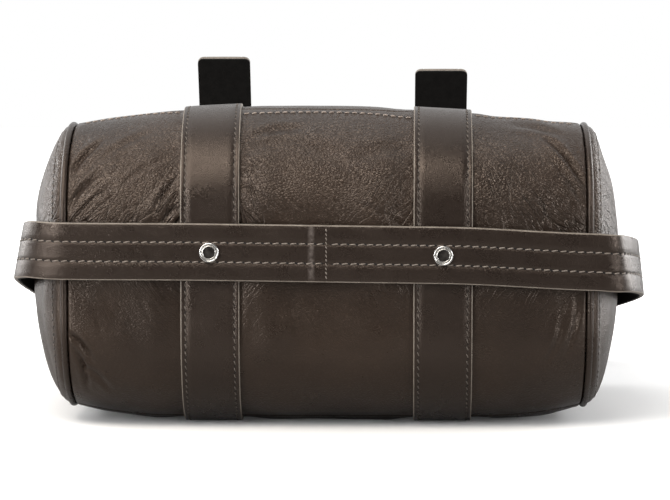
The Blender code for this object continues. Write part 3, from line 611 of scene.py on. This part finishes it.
def creases(place, to_band, to_pipe, from_seam):
    """Soft waves and sharp lines that run away from where the belt crosses the bands.

    The distances and the height are in millimetres, the place is in metres.
    """
    x, y, z = place
    beside, above = abs(abs(x) - crossing_x), abs(z - strap_height)
    outside = abs(x) > crossing_x
    area = Vector((3.0 * (x > 0) + 7.0 * outside, 0, 5.0 * (z > strap_height)))
    across, along = beside * 0.64 - above * 0.77, beside * 0.77 + above * 0.64
    near = 0.35 + 0.65 * hill(min(to_pipe, max(0.0, to_band)), 18, 1)
    near *= (1 - 0.7 * ramp(above / MM - 25, 40)) * (1.0 if outside else ramp(abs(x) / MM, 34))
    clear = ramp(to_band, 4) * ramp(to_pipe, 4) * ramp(from_seam, 8)
    soft = noise.noise(Vector((across * 15, y * 15, along * 52)) + area)
    ridge = noise.noise(Vector((across * 32, y * 32, along * 110 + 5)) + area)
    where = ramp(noise.noise(place * 20 + Vector((40, 0, 0))) + 0.25, 0.5)
    return clear * near * (1.3 * soft - 0.32 * where * ramp(0.16 - abs(ridge), 0.16))


def relief(x, point, from_seam, padding):
    """How far the leather stands out of its plain section, in metres. padding is in millimetres."""
    y, z = point
    place = Vector((x, y, z))
    to_band = (abs(abs(x) - band_middle(y)) - band_width / 2) / MM
    to_pipe, from_seam = (panel_end - abs(x)) / MM, from_seam / MM
    held = ramp(to_band, 16) * (0.35 + 0.65 * ramp(to_pipe, 20)) * ramp(from_seam, 14)
    broad = noise.noise(place * 24 + Vector((3.1, 0, 7.7)))
    middle = noise.noise(place * 55 + Vector((11, 5, 0)))
    top = ramp(z / MM - 138, 26)
    out = held * padding * (1 - 0.85 * top) * (1.0 + 1.1 * broad + 0.35 * middle)
    sunk = ramp(x / MM + 30, 100) + 0.8 * hill(x / MM - 102, 22)
    out -= sunk * top * ramp(to_band, 14) * ramp(to_pipe, 18)
    out += creases(place, to_band, to_pipe, from_seam)
    if y < base_y + 62 * MM:
        out += long_folds(x / MM, z / MM) * ramp(to_band, 3) * ramp(to_pipe, 2) * ramp(from_seam, 5)
    pucker = rough(x * 40, y * 130 + 9, z * 130)
    out += 0.28 * pucker * hill(to_pipe, 9, 1)
    if to_band > 0:
        out += 0.16 * pucker * hill(to_band, 6, 1) * ramp(to_band, 1.5)
    return out * MM - settled(x, y, z)


def panel(name, run, padding, step):
    """One panel of the bag's body, sewn down along its seams, its pipings and its bands."""
    columns = [2 * panel_end * s - panel_end for s in spaced(2 * panel_end, step)]
    places = spaced(lengths(run(0.0))[-1], step)
    outer, inner = [], []
    for x in columns:
        line = run(x)
        length = lengths(line)[-1]
        outer.append([])
        inner.append([])
        for share, (point, normal) in zip(places, sampled(line, places)):
            from_seam = min(share, 1 - share) * length
            rise = relief(x, point, from_seam, padding)
            dip = turn_in(from_seam, 1.4 * MM) + turn_in(panel_end - abs(x), 1.3 * MM)
            high = point + normal * (rise - dip)
            low = point + normal * (min(0.0, rise) - panel_thickness)
            outer[-1].append(Vector((x, high.x, max(high.y, 0.25 * MM))))
            inner[-1].append(Vector((x, low.x, low.y)))
    bm = bmesh.new()
    shell(bm, outer, inner)
    add_piece(name + "_skin", bm, [BROWN], "bag", name)


# End panels and piping

end_columns = 220
end_rings = 46
end_row_ring = 5            # the ring that the stitches follow
lining_near = 1.0 * MM      # a panel sinks this far freely, and then less and less,
lining_at = 0.9 * MM        # since the lining lies close under it


def end_swell(side, z):
    """How far an end panel swells or sinks at a height, all in millimetres."""
    if side < 0:
        return 1.9 * hill(z - 95, 36) * (1 - hill(z - 93, 17, 4))
    return -1.6 * hill(z - 142, 15) - 1.2 * hill(z - 112, 13) - 3.0 * hill(z - 58, 42, 4)


def end_panel(name, side):
    """Domed end panel. Returns the path of its row of stitches."""
    edge = end_outline(gap, end_columns)
    outer, inner = [], []
    for number in range(end_rings):
        share = 1 - (number / end_rings) ** 1.35 * 0.97
        height = dome_bulge * (1 - share**2) ** dome_power
        hold = ramp(1 - share, 0.16)
        dip = turn_in((1 - share) * 70 * MM, 1.8 * MM)
        ring, low = [], []
        for p in edge:
            y, z = dome_middle.lerp(p, share)
            fold = 1.5 * rough(side * 2.0, y * 62, z * 13) + 0.35 * rough(side * 5.0, y * 150, z * 60)
            pucker = 0.35 * rough(side, y * 210, z * 210) * hill(1 - share, 0.07, 1)
            lift = ((fold + end_swell(side, z / MM)) * hold + pucker) * MM
            if lift < -lining_near:
                lift = -lining_near - lining_at * tanh((-lift - lining_near) / lining_at)
            under = height * 0.9 - panel_thickness + min(lift, 0.0)
            ring.append(Vector((side * (rim_x + height + lift - dip), y, z)))
            low.append(Vector((side * (rim_x + under), y, z)))
        outer.append(ring)
        inner.append(low)
    bm = bmesh.new()
    made = tube(bm, inner[::-1] + outer, caps=False)
    for ring in (made[0], made[-1]):
        centre = bm.verts.new(sum((v.co for v in ring), Vector()) / end_columns)
        for j in range(end_columns):
            bm.faces.new((ring[j - 1], ring[j], centre))
    add_piece(name + "_skin", bm, [BROWN], "bag", name)
    row = outer[end_row_ring]
    path = []
    for j in range(end_columns + 1):
        k = j % end_columns
        around = row[(k + 1) % end_columns] - row[k - 1]
        normal = around.cross(outer[end_row_ring + 1][k] - outer[end_row_ring - 1][k]).normalized()
        path.append((row[k] + normal * 0.03 * MM * side, normal if normal.x * side > 0 else -normal))
    return path


def piping(name, side, count=300, sides=14):
    points = end_outline(0.4 * MM, count)
    rings = []
    for k, point in enumerate(points):
        along = (points[(k + 1) % count] - points[k - 1]).normalized()
        out = Vector((0, along.y, -along.x))
        middle = Vector((side * half_length, point.x, point.y))
        radius = piping_radius * (1 + 0.05 * rough(side, point.x * 160, point.y * 160))
        rings.append(circle(middle, out, X, radius, sides))
    bm = bmesh.new()
    tube(bm, rings, closed=True)
    add_piece(name + "_cord", bm, [STRAP], "bag", name)


# Straps

def strap_profile(width, low, high, rows=(), bevel=0.65 * MM, groove=0.3 * MM, crown=0.1 * MM):
    """Cross section of a strap as (across, out), and a material index for each of its sides."""
    half = width / 2
    edge = ((0.0, bevel), (bevel * 0.3, bevel * 0.3), (bevel, 0.0))
    fill = [-half + (k + 1) * width / 10 for k in range(9)]
    places = [(u, 0.0) for u in fill if all(abs(u - row) > 1.4 * MM for row in rows)]
    for row in rows:
        for away, deep in ((0.75 * MM, 0.0), (0.3 * MM, groove)):
            places += [(row - away, deep), (row + away, deep)]
    face = [(u, high - deep + crown * (1 - (u / half) ** 2)) for u, deep in sorted(places)]
    left = [(-half + u, high - v) for u, v in edge]
    right = [(half - u, high - v) for u, v in reversed(edge)]
    marks = [1, 1, 0] + [0] * len(face) + [1, 1, 1, 0, 1]
    return left + face + right + [(half, low), (-half, low)], marks


def walk(start, heading, legs, step):
    place = Vector(start)
    track = [(place.copy(), heading, 0.0)]
    done = 0.0
    for length, radius in legs:
        parts = max(1, round(length / step))
        piece = length / parts
        for _ in range(parts):
            turn = piece / radius if radius else 0.0
            chord = 2 * radius * sin(turn / 2) if radius else piece
            place = place + chord * unit(heading + turn / 2)
            heading += turn
            done += piece
            track.append((place.copy(), heading, done))
    return track


def end_steps(last, length, shares=(0.2, 0.38, 0.54, 0.68, 0.79, 0.88, 0.94, 0.98, 1.0)):
    place, heading, done = last
    return [(place + unit(heading) * length * s, heading, done + length * s) for s in shares]


def round_width(left, half):
    """Share of the width at a distance from a half-round end."""
    short = max(0.0, half - left)
    return max(0.1, sqrt(max(0.0, half**2 - short**2)) / half)


def upright_frames(track, side, height_at, width_at, lean_at=lambda done: 0.0):
    """Place, out, up and share of width along a strap that stands on edge."""
    frames = []
    for place, heading, done in track:
        out = Vector((sin(heading), -cos(heading), 0))
        lean = radians(lean_at(done))
        up = Z * cos(lean) - out * sin(lean)
        flat = out * cos(lean) + Z * sin(lean)
        point = Vector((*place, height_at(done)))
        frames.append([Vector((side * v.x, v.y, v.z)) for v in (point, flat, up)] + [width_at(done)])
    return frames


LEATHERS = {"leather": [BROWN, BROWN], "strap_leather": [STRAP, EDGE], "black_leather": [BLACK, BLACK]}


def strap(name, frames, width, low, high, rows, body, slot, node):
    profile, marks = strap_profile(width, low, high, rows)
    rings = [[point + up * (u * share) + out * v for u, v in profile] for point, out, up, share in frames]
    bm = bmesh.new()
    tube(bm, rings, face_materials=marks)
    add_piece(name, bm, LEATHERS[slot], body, node)


def row_path(frames, across, out):
    """Path of a row of stitches on a strap, as points and normals."""
    return [(point + up * (across * share) + flat * out, flat) for point, flat, up, share in frames]


def lined_strap(stem, leather_name, frames, width, rows, body):
    """A belt with its cut edges and its black lining. Returns the paths of its stitch rows."""
    low = strap_lining + 0.05 * MM
    node, lining = stem + "_strap", stem + "_lining"
    strap(stem + leather_name, frames, width, low, strap_layers, rows, body, "strap_leather", node)
    strap(stem + "_backing", frames, width, 0, strap_lining, (), body, "black_leather", lining)
    return [row_path(frames, row, strap_layers - 0.14 * MM) for row in rows]


# Stitches

stitch_sides = 6
hole_sides = 7


def stitch_mesh(bm, path, pitch, long, radius, slant, lift=0.1 * MM, ends=3 * MM, hole=0.46 * MM):
    """A row of separate stitches, with a near-black disc at each end as painted shade of the hole where it
    goes in.
    """
    points = [p for p, _ in path]
    total = lengths(points)
    count = int((total[-1] - 2 * ends) / pitch)
    first = (total[-1] - (count - 1) * pitch) / 2
    for k, part in located(total, [first + number * pitch for number in range(count)]):
        centre = points[k].lerp(points[k + 1], part)
        normal = path[k][1].lerp(path[k + 1][1], part).normalized()
        along = (points[k + 1] - points[k]).normalized()
        across = normal.cross(along).normalized()
        angle = radians(slant + draw.uniform(-3, 3))
        run = along * cos(angle) + across * sin(angle)
        wide = normal.cross(run).normalized()
        reach = long / 2 * draw.uniform(0.95, 1.04)
        rings = []
        for q in (-1.0, -0.82, -0.4, 0.0, 0.4, 0.82, 1.0):
            thick = radius * sqrt(max(0.05, 1 - 0.75 * q * q))
            middle = centre + run * (q * reach) + normal * (lift - 0.45 * MM * q**4)
            rings.append(circle(middle, wide, normal, thick, stitch_sides))
        tube(bm, rings)
        for q in (-1, 1):
            # Painted shade: a thin near-black disc lies on the surface where the stitch goes into its hole.
            pit = centre + run * (q * (reach + 0.12 * MM)) + normal * 0.02 * MM
            low = circle(pit, run, wide, hole, hole_sides)
            tube(bm, [low, [p + normal * 0.05 * MM for p in low]], face_materials=[1] * hole_sides)


def stitches(name, paths, body, sizes, yarn=THREAD, **more):
    """Rows of stitches. sizes are pitch, length and radius in millimetres, and slant in degrees."""
    *lengthwise, slant = sizes
    bm = bmesh.new()
    for path in paths:
        stitch_mesh(bm, path, *[size * MM for size in lengthwise], slant, **more)
    add_piece(name, bm, [yarn, HOLE_PAINTED_SHADE], body, sharp=80)


# Bands

edge_rows = (band_width / 2 - edge_row_offset, -band_width / 2 + edge_row_offset)


def band(name, side, steps=260):
    """Band from the mouth's back edge round the base to its front edge. Returns its rows of stitches."""
    profile, marks = strap_profile(band_width, 0.0, band_thickness, edge_rows, bevel=0.55 * MM, crown=0)

    def line_at(across):
        x = band_spacing / 2 + across
        line = back_run(x, -gap)[:-1] + base_run(x, -gap)[:-1] + front_run(x, -gap)
        return sampled(line, [k / steps for k in range(steps + 1)])

    def spot(across, point, normal, out):
        x = side * (band_middle(point.x) + across)
        place = point + normal * (out - settled(x, point.x, point.y))
        return Vector((x, place.x, max(place.y, 0.0)))

    lines = {across: line_at(across) for across in {u for u, _ in profile}}
    rings = [[spot(u, *lines[u][k], v) for u, v in profile] for k in range(steps + 1)]
    bm = bmesh.new()
    tube(bm, rings, face_materials=marks)
    add_piece(name + "_strip", bm, [STRAP, EDGE], "bag", name)
    out = band_thickness - 0.25 * MM
    return [
        [(spot(row, point, normal, out), Vector((0, *normal))) for point, normal in line_at(row)]
        for row in edge_rows
    ]


# Cradle strap, handle and tabs

def bowed(last, end, count=48):
    """Steps from the last place and heading to an end nearer the mouth, arriving straight along Y."""
    start, heading, done = last
    run = end.y - start.y
    slope = 1 / tan(heading)
    steps = []
    place = start
    for k in range(1, count + 1):
        t = k / count
        x = start.x + (end.x - start.x) * ramp(t) + run * slope * t * (1 - t) ** 2
        lie = (end.x - start.x) * 6 * t * (1 - t) + run * slope * (1 - t) * (1 - 3 * t)
        following = Vector((x, start.y + run * t))
        done += (following - place).length
        place = following
        steps.append((place, atan2(run, lie), done))
    return steps


def cradle_frames(side_name):
    side = SIDES[side_name]
    turn = pi / 2 - radians(strap_flare[side_name])
    widest = rim_x + dome_bulge + strap_slack[side_name]
    corner = strap_corner[side_name]
    straight = widest - strap_bend_in[side_name] - corner * sin(turn) - gap / 2
    half = strap_width / 2
    track = walk((0.02 * MM, strap_face_y), 0.0, [(straight, None), (corner * turn, corner)], 2.5 * MM)
    track += bowed(track[-1], Vector((pivot_reach, pivot_y - pivot_run)))
    place, heading, done = track[-1]
    rest = walk(place, heading, [(pivot_run, None), (half * 0.3, None)], 2.5 * MM)
    track += [(p, h, done + d) for p, h, d in rest[1:]]
    track += end_steps(track[-1], half * 0.7)
    corner_end = straight + corner * pi / 2
    length = track[-1][2]
    pivot_at = length - half
    sag = strap_sag[side_name]
    begin = straight + strap_fall_start[side_name]
    tilt = side * strap_slope
    fall = strap_height - tilt * begin - sag - pivot_height

    def height_at(done):
        across = sag * ramp((done - band_spacing / 2) / (straight - band_spacing / 2))
        level = strap_height - tilt * min(done, begin) - across
        t = min(1.0, max(0.0, (done - begin) / (pivot_at - begin)))
        return level - fall * (strap_fall_ease * ramp(t) + (1 - strap_fall_ease) * t)

    def lean_at(done):
        rise = ramp((done - straight) / (corner_end - straight))
        gone = ramp((done - corner_end) / (pivot_at - lean_end - corner_end))
        return strap_lean[side_name] * rise * (1 - gone)

    return upright_frames(track, side, height_at, lambda done: round_width(length - done, half), lean_at)


def handle_frames():
    inner_face = pivot_reach + strap_layers + gap
    crown = mouth_y + handle_reach - strap_layers
    leg = crown - inner_face - pivot_y
    half = strap_width / 2
    ease = half * 0.7
    legs = [(leg + half - ease, None), (inner_face * pi / 2, inner_face)]
    run = walk((inner_face, pivot_y - half + ease), pi / 2, legs, 3 * MM)
    tip = end_steps((run[0][0], pi * 1.5, 0.0), ease)
    first = [(place, pi / 2, ease - done) for place, _, done in reversed(tip)]
    first += [(place, heading, ease + done) for place, heading, done in run]
    length = 2 * first[-1][2]
    last = [(Vector((-p.x, p.y)), tau - h, length - done) for p, h, done in first[-2::-1]]
    touch = leg + inner_face * pi * touch_share

    def height_at(done):
        from_pivot = min(done, length - done) - half
        return pivot_height - (pivot_height - half) * ramp(from_pivot / touch)

    def width_at(done):
        return round_width(min(done, length - done), half)

    return upright_frames(first + last, 1, height_at, width_at)


def tab_frames(side):
    face = pivot_reach - gap
    start = (rim_x, mouth_y + panel_thickness)
    half = tab_width / 2
    legs = [(face - tab_bend - rim_x, None), (tab_bend * pi / 2, -tab_bend)]
    legs += [(start[1] - tab_bend - pivot_y, None), (half * 0.3, None)]
    track = walk(start, 0.0, legs, 2 * MM)
    track += end_steps(track[-1], half * 0.7)
    length = track[-1][2]
    return upright_frames(
        track, side, lambda done: pivot_height, lambda done: round_width(length - done, half)
    )


def closure_tracks(side_name):
    lean = radians(closure_lean)
    root = Vector((mouth_y + gap, mouth_back_edge + gap + strap_layers * sin(lean)))
    rise = mouth_top + tip_rise - root.y
    bow = rise / 2 / sin(lean)
    over = walk(root, pi / 2 - lean, [(bow * 2 * lean, bow)], 3 * MM)
    place, heading, _ = over[-1]
    legs = [(tip_length[side_name] - tip_corner, tip_bend)]
    tip = walk(place + unit(heading) * running_gap, heading, legs, 3 * MM)
    return over, tip + end_steps(tip[-1], tip_corner, (0.2, 0.4, 0.6, 0.8, 0.93, 1.0))


def rising_frames(track, side, corner=0.0):
    """Frames of a strap that runs up over the mouth, its width along X."""
    length = track[-1][2]
    frames = []
    for place, heading, done in track:
        short = max(0.0, corner - length + done)
        drop = corner - sqrt(max(0.0, corner**2 - short**2))
        out = Vector((0, sin(heading), -cos(heading)))
        frames.append([Vector((side * closure_x, *place)), out, X, 1 - 2 * drop / band_width])
    return frames


# Rivets

def rivet(name, place, direction, stem, node, back_head=False):
    """Ring cap with a stepped rim and a domed middle, on a stem; the middle's dark colour is a painted
    reflection and shade.
    """
    r, w = rivet_cap_radius / MM, rivet_recess_radius / MM
    top = (     # radius and depth below the top, in millimetres
        (0, 0.80), (w * 0.5, 0.86), (w * 0.85, 1.0), (w - 0.08, 1.0), (w, 0.3), (w + 0.08, 0.12),
        (w + 0.2, 0.05), (w + 0.35, 0.2), (w + 0.5, 0.34), (r - 1.05, 0.34), (r - 0.9, 0.16),
        (r - 0.7, 0.02), (r - 0.5, 0), (r - 0.25, 0.1), (r - 0.06, 0.35), (r, 0.75),
    )
    profile = [(radius * MM, rivet_cap_height - depth * MM) for radius, depth in top]
    profile += [(rivet_cap_radius, 0), (rivet_stem_radius, 0), (rivet_stem_radius, -stem)]
    if back_head:
        head = ((4.6, 0), (4.6, 0.7), (4.2, 1.0), (0, 1.0))
        profile += [(radius * MM, -stem - depth * MM) for radius, depth in head]
    else:
        profile.append((0, -stem))
    bm = bmesh.new()
    # Faces 0 to 2, the domed middle, take the nickel painted dark; faces 7 to 9, the lettering groove, take
    # the nickel with painted shade.
    turned(bm, profile, place, direction, lambda k: 1 if k < 3 else 2 if 6 < k < 10 else 0)
    add_piece(name, bm, [NICKEL, NICKEL_PAINTED_DARK, NICKEL_LETTERING_SHADE], "bag", node, sharp=50)


# Building

base_padding = 1.5
panel("base_panel", base_run, base_padding, 1.05 * MM)
panel("front_panel", front_run, 1.6, 2.5 * MM)
panel("back_panel", back_run, 1.2, 2.8 * MM)

band_paths = []
rim_paths = []
for side_name, side in SIDES.items():
    rim_paths.append(end_panel(side_name + "_end_panel", side))
    piping(side_name + "_piping", side)
    band_paths += band(side_name + "_band", side)
stitches("band_stitches", band_paths, "bag", (3.95, 3.0, 0.31, 20), DULL_THREAD)
stitches("rim_stitches", rim_paths, "bag", (4.0, 2.9, 0.3, 10), DULL_THREAD)


def flat_strap(name, x0, x1, z0, z1, rows, body, node, count=60):
    """A leather piece of the mouth face: its length runs along X and its rims are turned in."""
    middle = Vector((0, mouth_y - 0.1 * MM, (z0 + z1) / 2))
    frames = []
    for k in range(count + 1):
        frames.append([middle + X * (x0 + (x1 - x0) * k / count), Y, Z, 1 - 0.012 * (k in (0, count))])
    strap(name, frames, z1 - z0, 0.1 * MM - flap_thickness, 0, rows, body, "leather", node)
    if rows:
        paths = [row_path(frames, row, -0.12 * MM) for row in rows]
        stitches(name + "_stitches", paths, body, (4.0, 3.0, 0.3, 12), DULL_THREAD)


half_flap = flap_length / 2
row_from_middle = (zip_z - zip_slot / 2 - mouth_back_edge - running_gap) / 2 - edge_row_offset
for name, low, high, row in (
    ("front_flap", zip_z + zip_slot / 2, mouth_front_edge - running_gap, -row_from_middle),
    ("back_flap", mouth_back_edge + running_gap, zip_z - zip_slot / 2, row_from_middle),
):
    flat_strap(name + "_leather", -half_flap, half_flap, low, high, (row,), name, name)
for side_name, side in SIDES.items():
    ends = sorted((side * (half_flap + running_gap), side * panel_end))
    flat_strap(
        side_name + "_gusset_leather", *ends, mouth_back_edge + gap, mouth_front_edge - gap, (),
        "bag", side_name + "_mouth_gusset",
    )


seam_row_below = 4.6 * MM       # of the base panel's seam, beyond the bands
middle_row_below = 5.6 * MM     # the same at the middle, from where the row bends down to the bands
middle_row_bend = {"left": 2.9 * MM, "right": 4.2 * MM}


def seam_stitches(count=180):
    """Row beside the seam between base and front, broken where the bands cross it."""
    paths = [[]]
    for k in range(count + 1):
        x = -panel_end + 2 * panel_end * k / count
        line = base_run(x)
        below = seam_row_below
        if abs(x) < crossing_x:
            bend = middle_row_bend["right" if x > 0 else "left"]
            below = middle_row_below + bend * (x / (40 * MM)) ** 2
        (point, normal), = sampled(line, [1 - below / lengths(line)[-1]])
        under_band = abs(abs(x) - band_middle(point.x)) < band_width / 2 - 1 * MM
        if under_band or abs(x) > panel_end - 2 * MM:
            paths.append([])
            continue
        spot = point + normal * (relief(x, point, below, base_padding) + 0.02 * MM)
        paths[-1].append((Vector((x, spot.x, spot.y)), Vector((0, *normal))))
    paths = [path for path in paths if len(path) > 2]
    stitches("seam_stitches", paths, "bag", (4.05, 3.1, 0.4, 12), SEAM_THREAD, lift=0.2 * MM, ends=1 * MM)


seam_stitches()

cradle_rows = (-stitch_row_offset, stitch_row_offset)
cradle_paths = []
for side_name, side in SIDES.items():
    frames = cradle_frames(side_name)
    cradle_paths += lined_strap(side_name + "_cradle", "_belt", frames, strap_width, cradle_rows, "bag")
    flipped = [[p, -out, up, share] for p, out, up, share in tab_frames(side)]
    strap(
        side_name + "_tab_leather", flipped, tab_width, -panel_thickness, 0, (),
        "bag", "strap_leather", side_name + "_strap_tab",
    )
join_y = strap_face_y - strap_layers - 0.04 * MM
join = [(Vector((0.0, join_y, strap_height + strap_width * k / 20)), -Y) for k in range(-9, 10)]
stitches("join_stitches", [join], "bag", (2.2, 1.8, 0.32, 20), ends=0, hole=0.06 * MM)
stitches("cradle_stitches", cradle_paths, "bag", (4.5, 3.75, 0.38, 9), ends=0.6 * MM)

handle_paths = lined_strap("handle", "_belt", handle_frames(), strap_width, cradle_rows, "handle")
stitches("handle_stitches", handle_paths, "handle", (4.5, 3.75, 0.38, 9))

for side_name, side in SIDES.items():
    over, tip = closure_tracks(side_name)
    for part, track, corner in (("closure", over, 0.0), ("tip", tip, tip_corner)):
        body = f"{side_name}_{part}"
        frames = rising_frames(track, side, corner)
        paths = lined_strap(body, "_leather", frames, band_width, edge_rows, body)
        stitches(body + "_stitches", paths, body, (4.0, 2.9, 0.3, 14))

for side_name, side in SIDES.items():
    x = side * band_spacing / 2
    place = Vector((x, base_y - layer_stack - gap, strap_height - strap_slope * x))
    stem = layer_stack + 2 * gap + panel_thickness + 1.0 * MM
    rivet(side_name + "_base_rivet", place, -Y, stem, side_name + "_rivet_cap")
    seat = 2 * (strap_layers + gap)
    place = Vector((side * (pivot_reach + seat), pivot_y, pivot_height))
    stem = seat + 2 * gap + panel_thickness
    rivet(side_name + "_handle_rivet", place, X * side, stem, side_name + "_pivot_rivet", back_head=True)


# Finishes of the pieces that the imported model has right

FINISHES = (
    (CLOTH, ("lining",)), (BOARD, ("base_board",)), (STRAP, ("zip_pull_tab",)),
    (TAPE, ("front_zip_tape", "back_zip_tape")),
    (NICKEL, ("front_zip_teeth", "back_zip_teeth", "zip_slider", "zip_pull_link")),
    (NICKEL, ("left_rivet_back", "right_rivet_back")),
    (STEEL, ("left_catch_plate", "right_catch_plate", "left_tip_magnet", "right_tip_magnet")),
)
for finish, names in FINISHES:
    for name in names:
        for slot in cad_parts[name].material_slots:
            slot.material = finish


# Floor, backdrop, light and camera

floor_reach = 6.0


def floor():
    """Pale floor that glows white away from the bag in the camera's view, and keeps the shadow."""
    made, g = material("pale_floor")
    g.nodes.remove(g.skin)
    place = g.own()
    depth = g.add("SeparateXYZ", {0: place}, None)[1]
    lighting = g.add("BsdfDiffuse", {"Color": g.spread(depth, -0.80, -0.42, 0.04, 0.40)})
    seen = g.add("BsdfDiffuse", {"Color": (0.90, 0.90, 0.90, 1)})
    stretched = g.add("Mapping", {"Vector": place, "Scale": (1.0, 1.35, 1)})
    away = g.vector("LENGTH", stretched, output="Value")
    glow = g.add("Emission", {"Strength": g.spread(away, 0.24, 0.60, 0.03, 1.0)})
    to_camera = g.add("AddShader", {0: seen, 1: glow})
    camera_ray = g.add("LightPath", {}, "Is Camera Ray")
    surface = g.add("MixShader", {0: camera_ray, 1: lighting, 2: to_camera})
    g.feed(g.nodes["Material Output"], {"Surface": surface})
    mesh = bpy.data.meshes.new("floor")
    square = [(x * floor_reach, y * floor_reach, 0) for x, y in ((-1, -1), (1, -1), (1, 1), (-1, 1))]
    mesh.from_pydata(square, [], [range(4)])
    mesh.materials.append(made)
    placed("floor", mesh)


def backdrop():
    """White to the camera. For all other rays it is bright behind the bag and above it."""
    world = bpy.data.worlds.new("studio")
    scene.world = world
    world.use_nodes = True
    g = Graph(world.node_tree)
    _, y, z = g.add("SeparateXYZ", {0: g.add("TexCoord", {}, "Generated")}, None)
    level = g.math("ADD", g.spread(y, -0.35, 0.35, 0.07, 0.9), g.spread(z, 0.2, 0.9, 0.0, 0.18))
    strength = g.math("MAXIMUM", level, g.add("LightPath", {}, "Is Camera Ray"))
    g.feed(g.nodes["Background"], {"Strength": strength, "Color": (1, 1, 1, 1)})


def softbox(name, place, target, size, power, colour=(1, 1, 1)):
    lamp = bpy.data.lights.new(name, "AREA")
    lamp.shape = "RECTANGLE"
    lamp.size, lamp.size_y = size
    lamp.energy = power
    lamp.color = colour
    made = placed(name, lamp)
    made.location = place
    made.rotation_euler = (Vector(target) - Vector(place)).to_track_quat("-Z", "Y").to_euler()


floor()
backdrop()
softbox("top_light", (-0.25, 0.05, 1.1), (0, -0.05, 0.08), (1.4, 0.8), 1.0)
softbox("front_light", (-0.42, -0.83, 0.97), (-0.05, -0.17, 0.12), (1.1, 0.65), 14.4, (1.0, 0.945, 0.87))
softbox("fill_light", (-0.68, -0.80, 0.25), (-0.16, -0.19, 0.09), (0.3, 0.4), 5.0)
softbox("right_fill", (0.80, -0.72, 0.26), (0.16, -0.19, 0.09), (0.3, 0.4), 3.8)
softbox("left_light", (-1.1, 0.45, 0.35), (-0.1, -0.1, 0.08), (0.8, 0.8), 8.5)
softbox("right_light", (1.1, 0.45, 0.35), (0.1, -0.1, 0.08), (0.8, 0.8), 11.0)

photo_width = 670           # in pixels, as the focal length
focal_length = 2535
camera_pitch = 4.19         # degrees below level
camera_yaw = 0.95
scene.view_settings.view_transform = "Standard"
lens = bpy.data.cameras.new("camera")
lens.sensor_width = 36
lens.lens = focal_length / photo_width * 36
lens.clip_start = 0.01
camera = placed("camera", lens)
camera.location = (26 * MM, base_y - 1300 * MM, 190 * MM)
camera.rotation_euler = (radians(90 - camera_pitch), 0, radians(camera_yaw))
scene.camera = camera
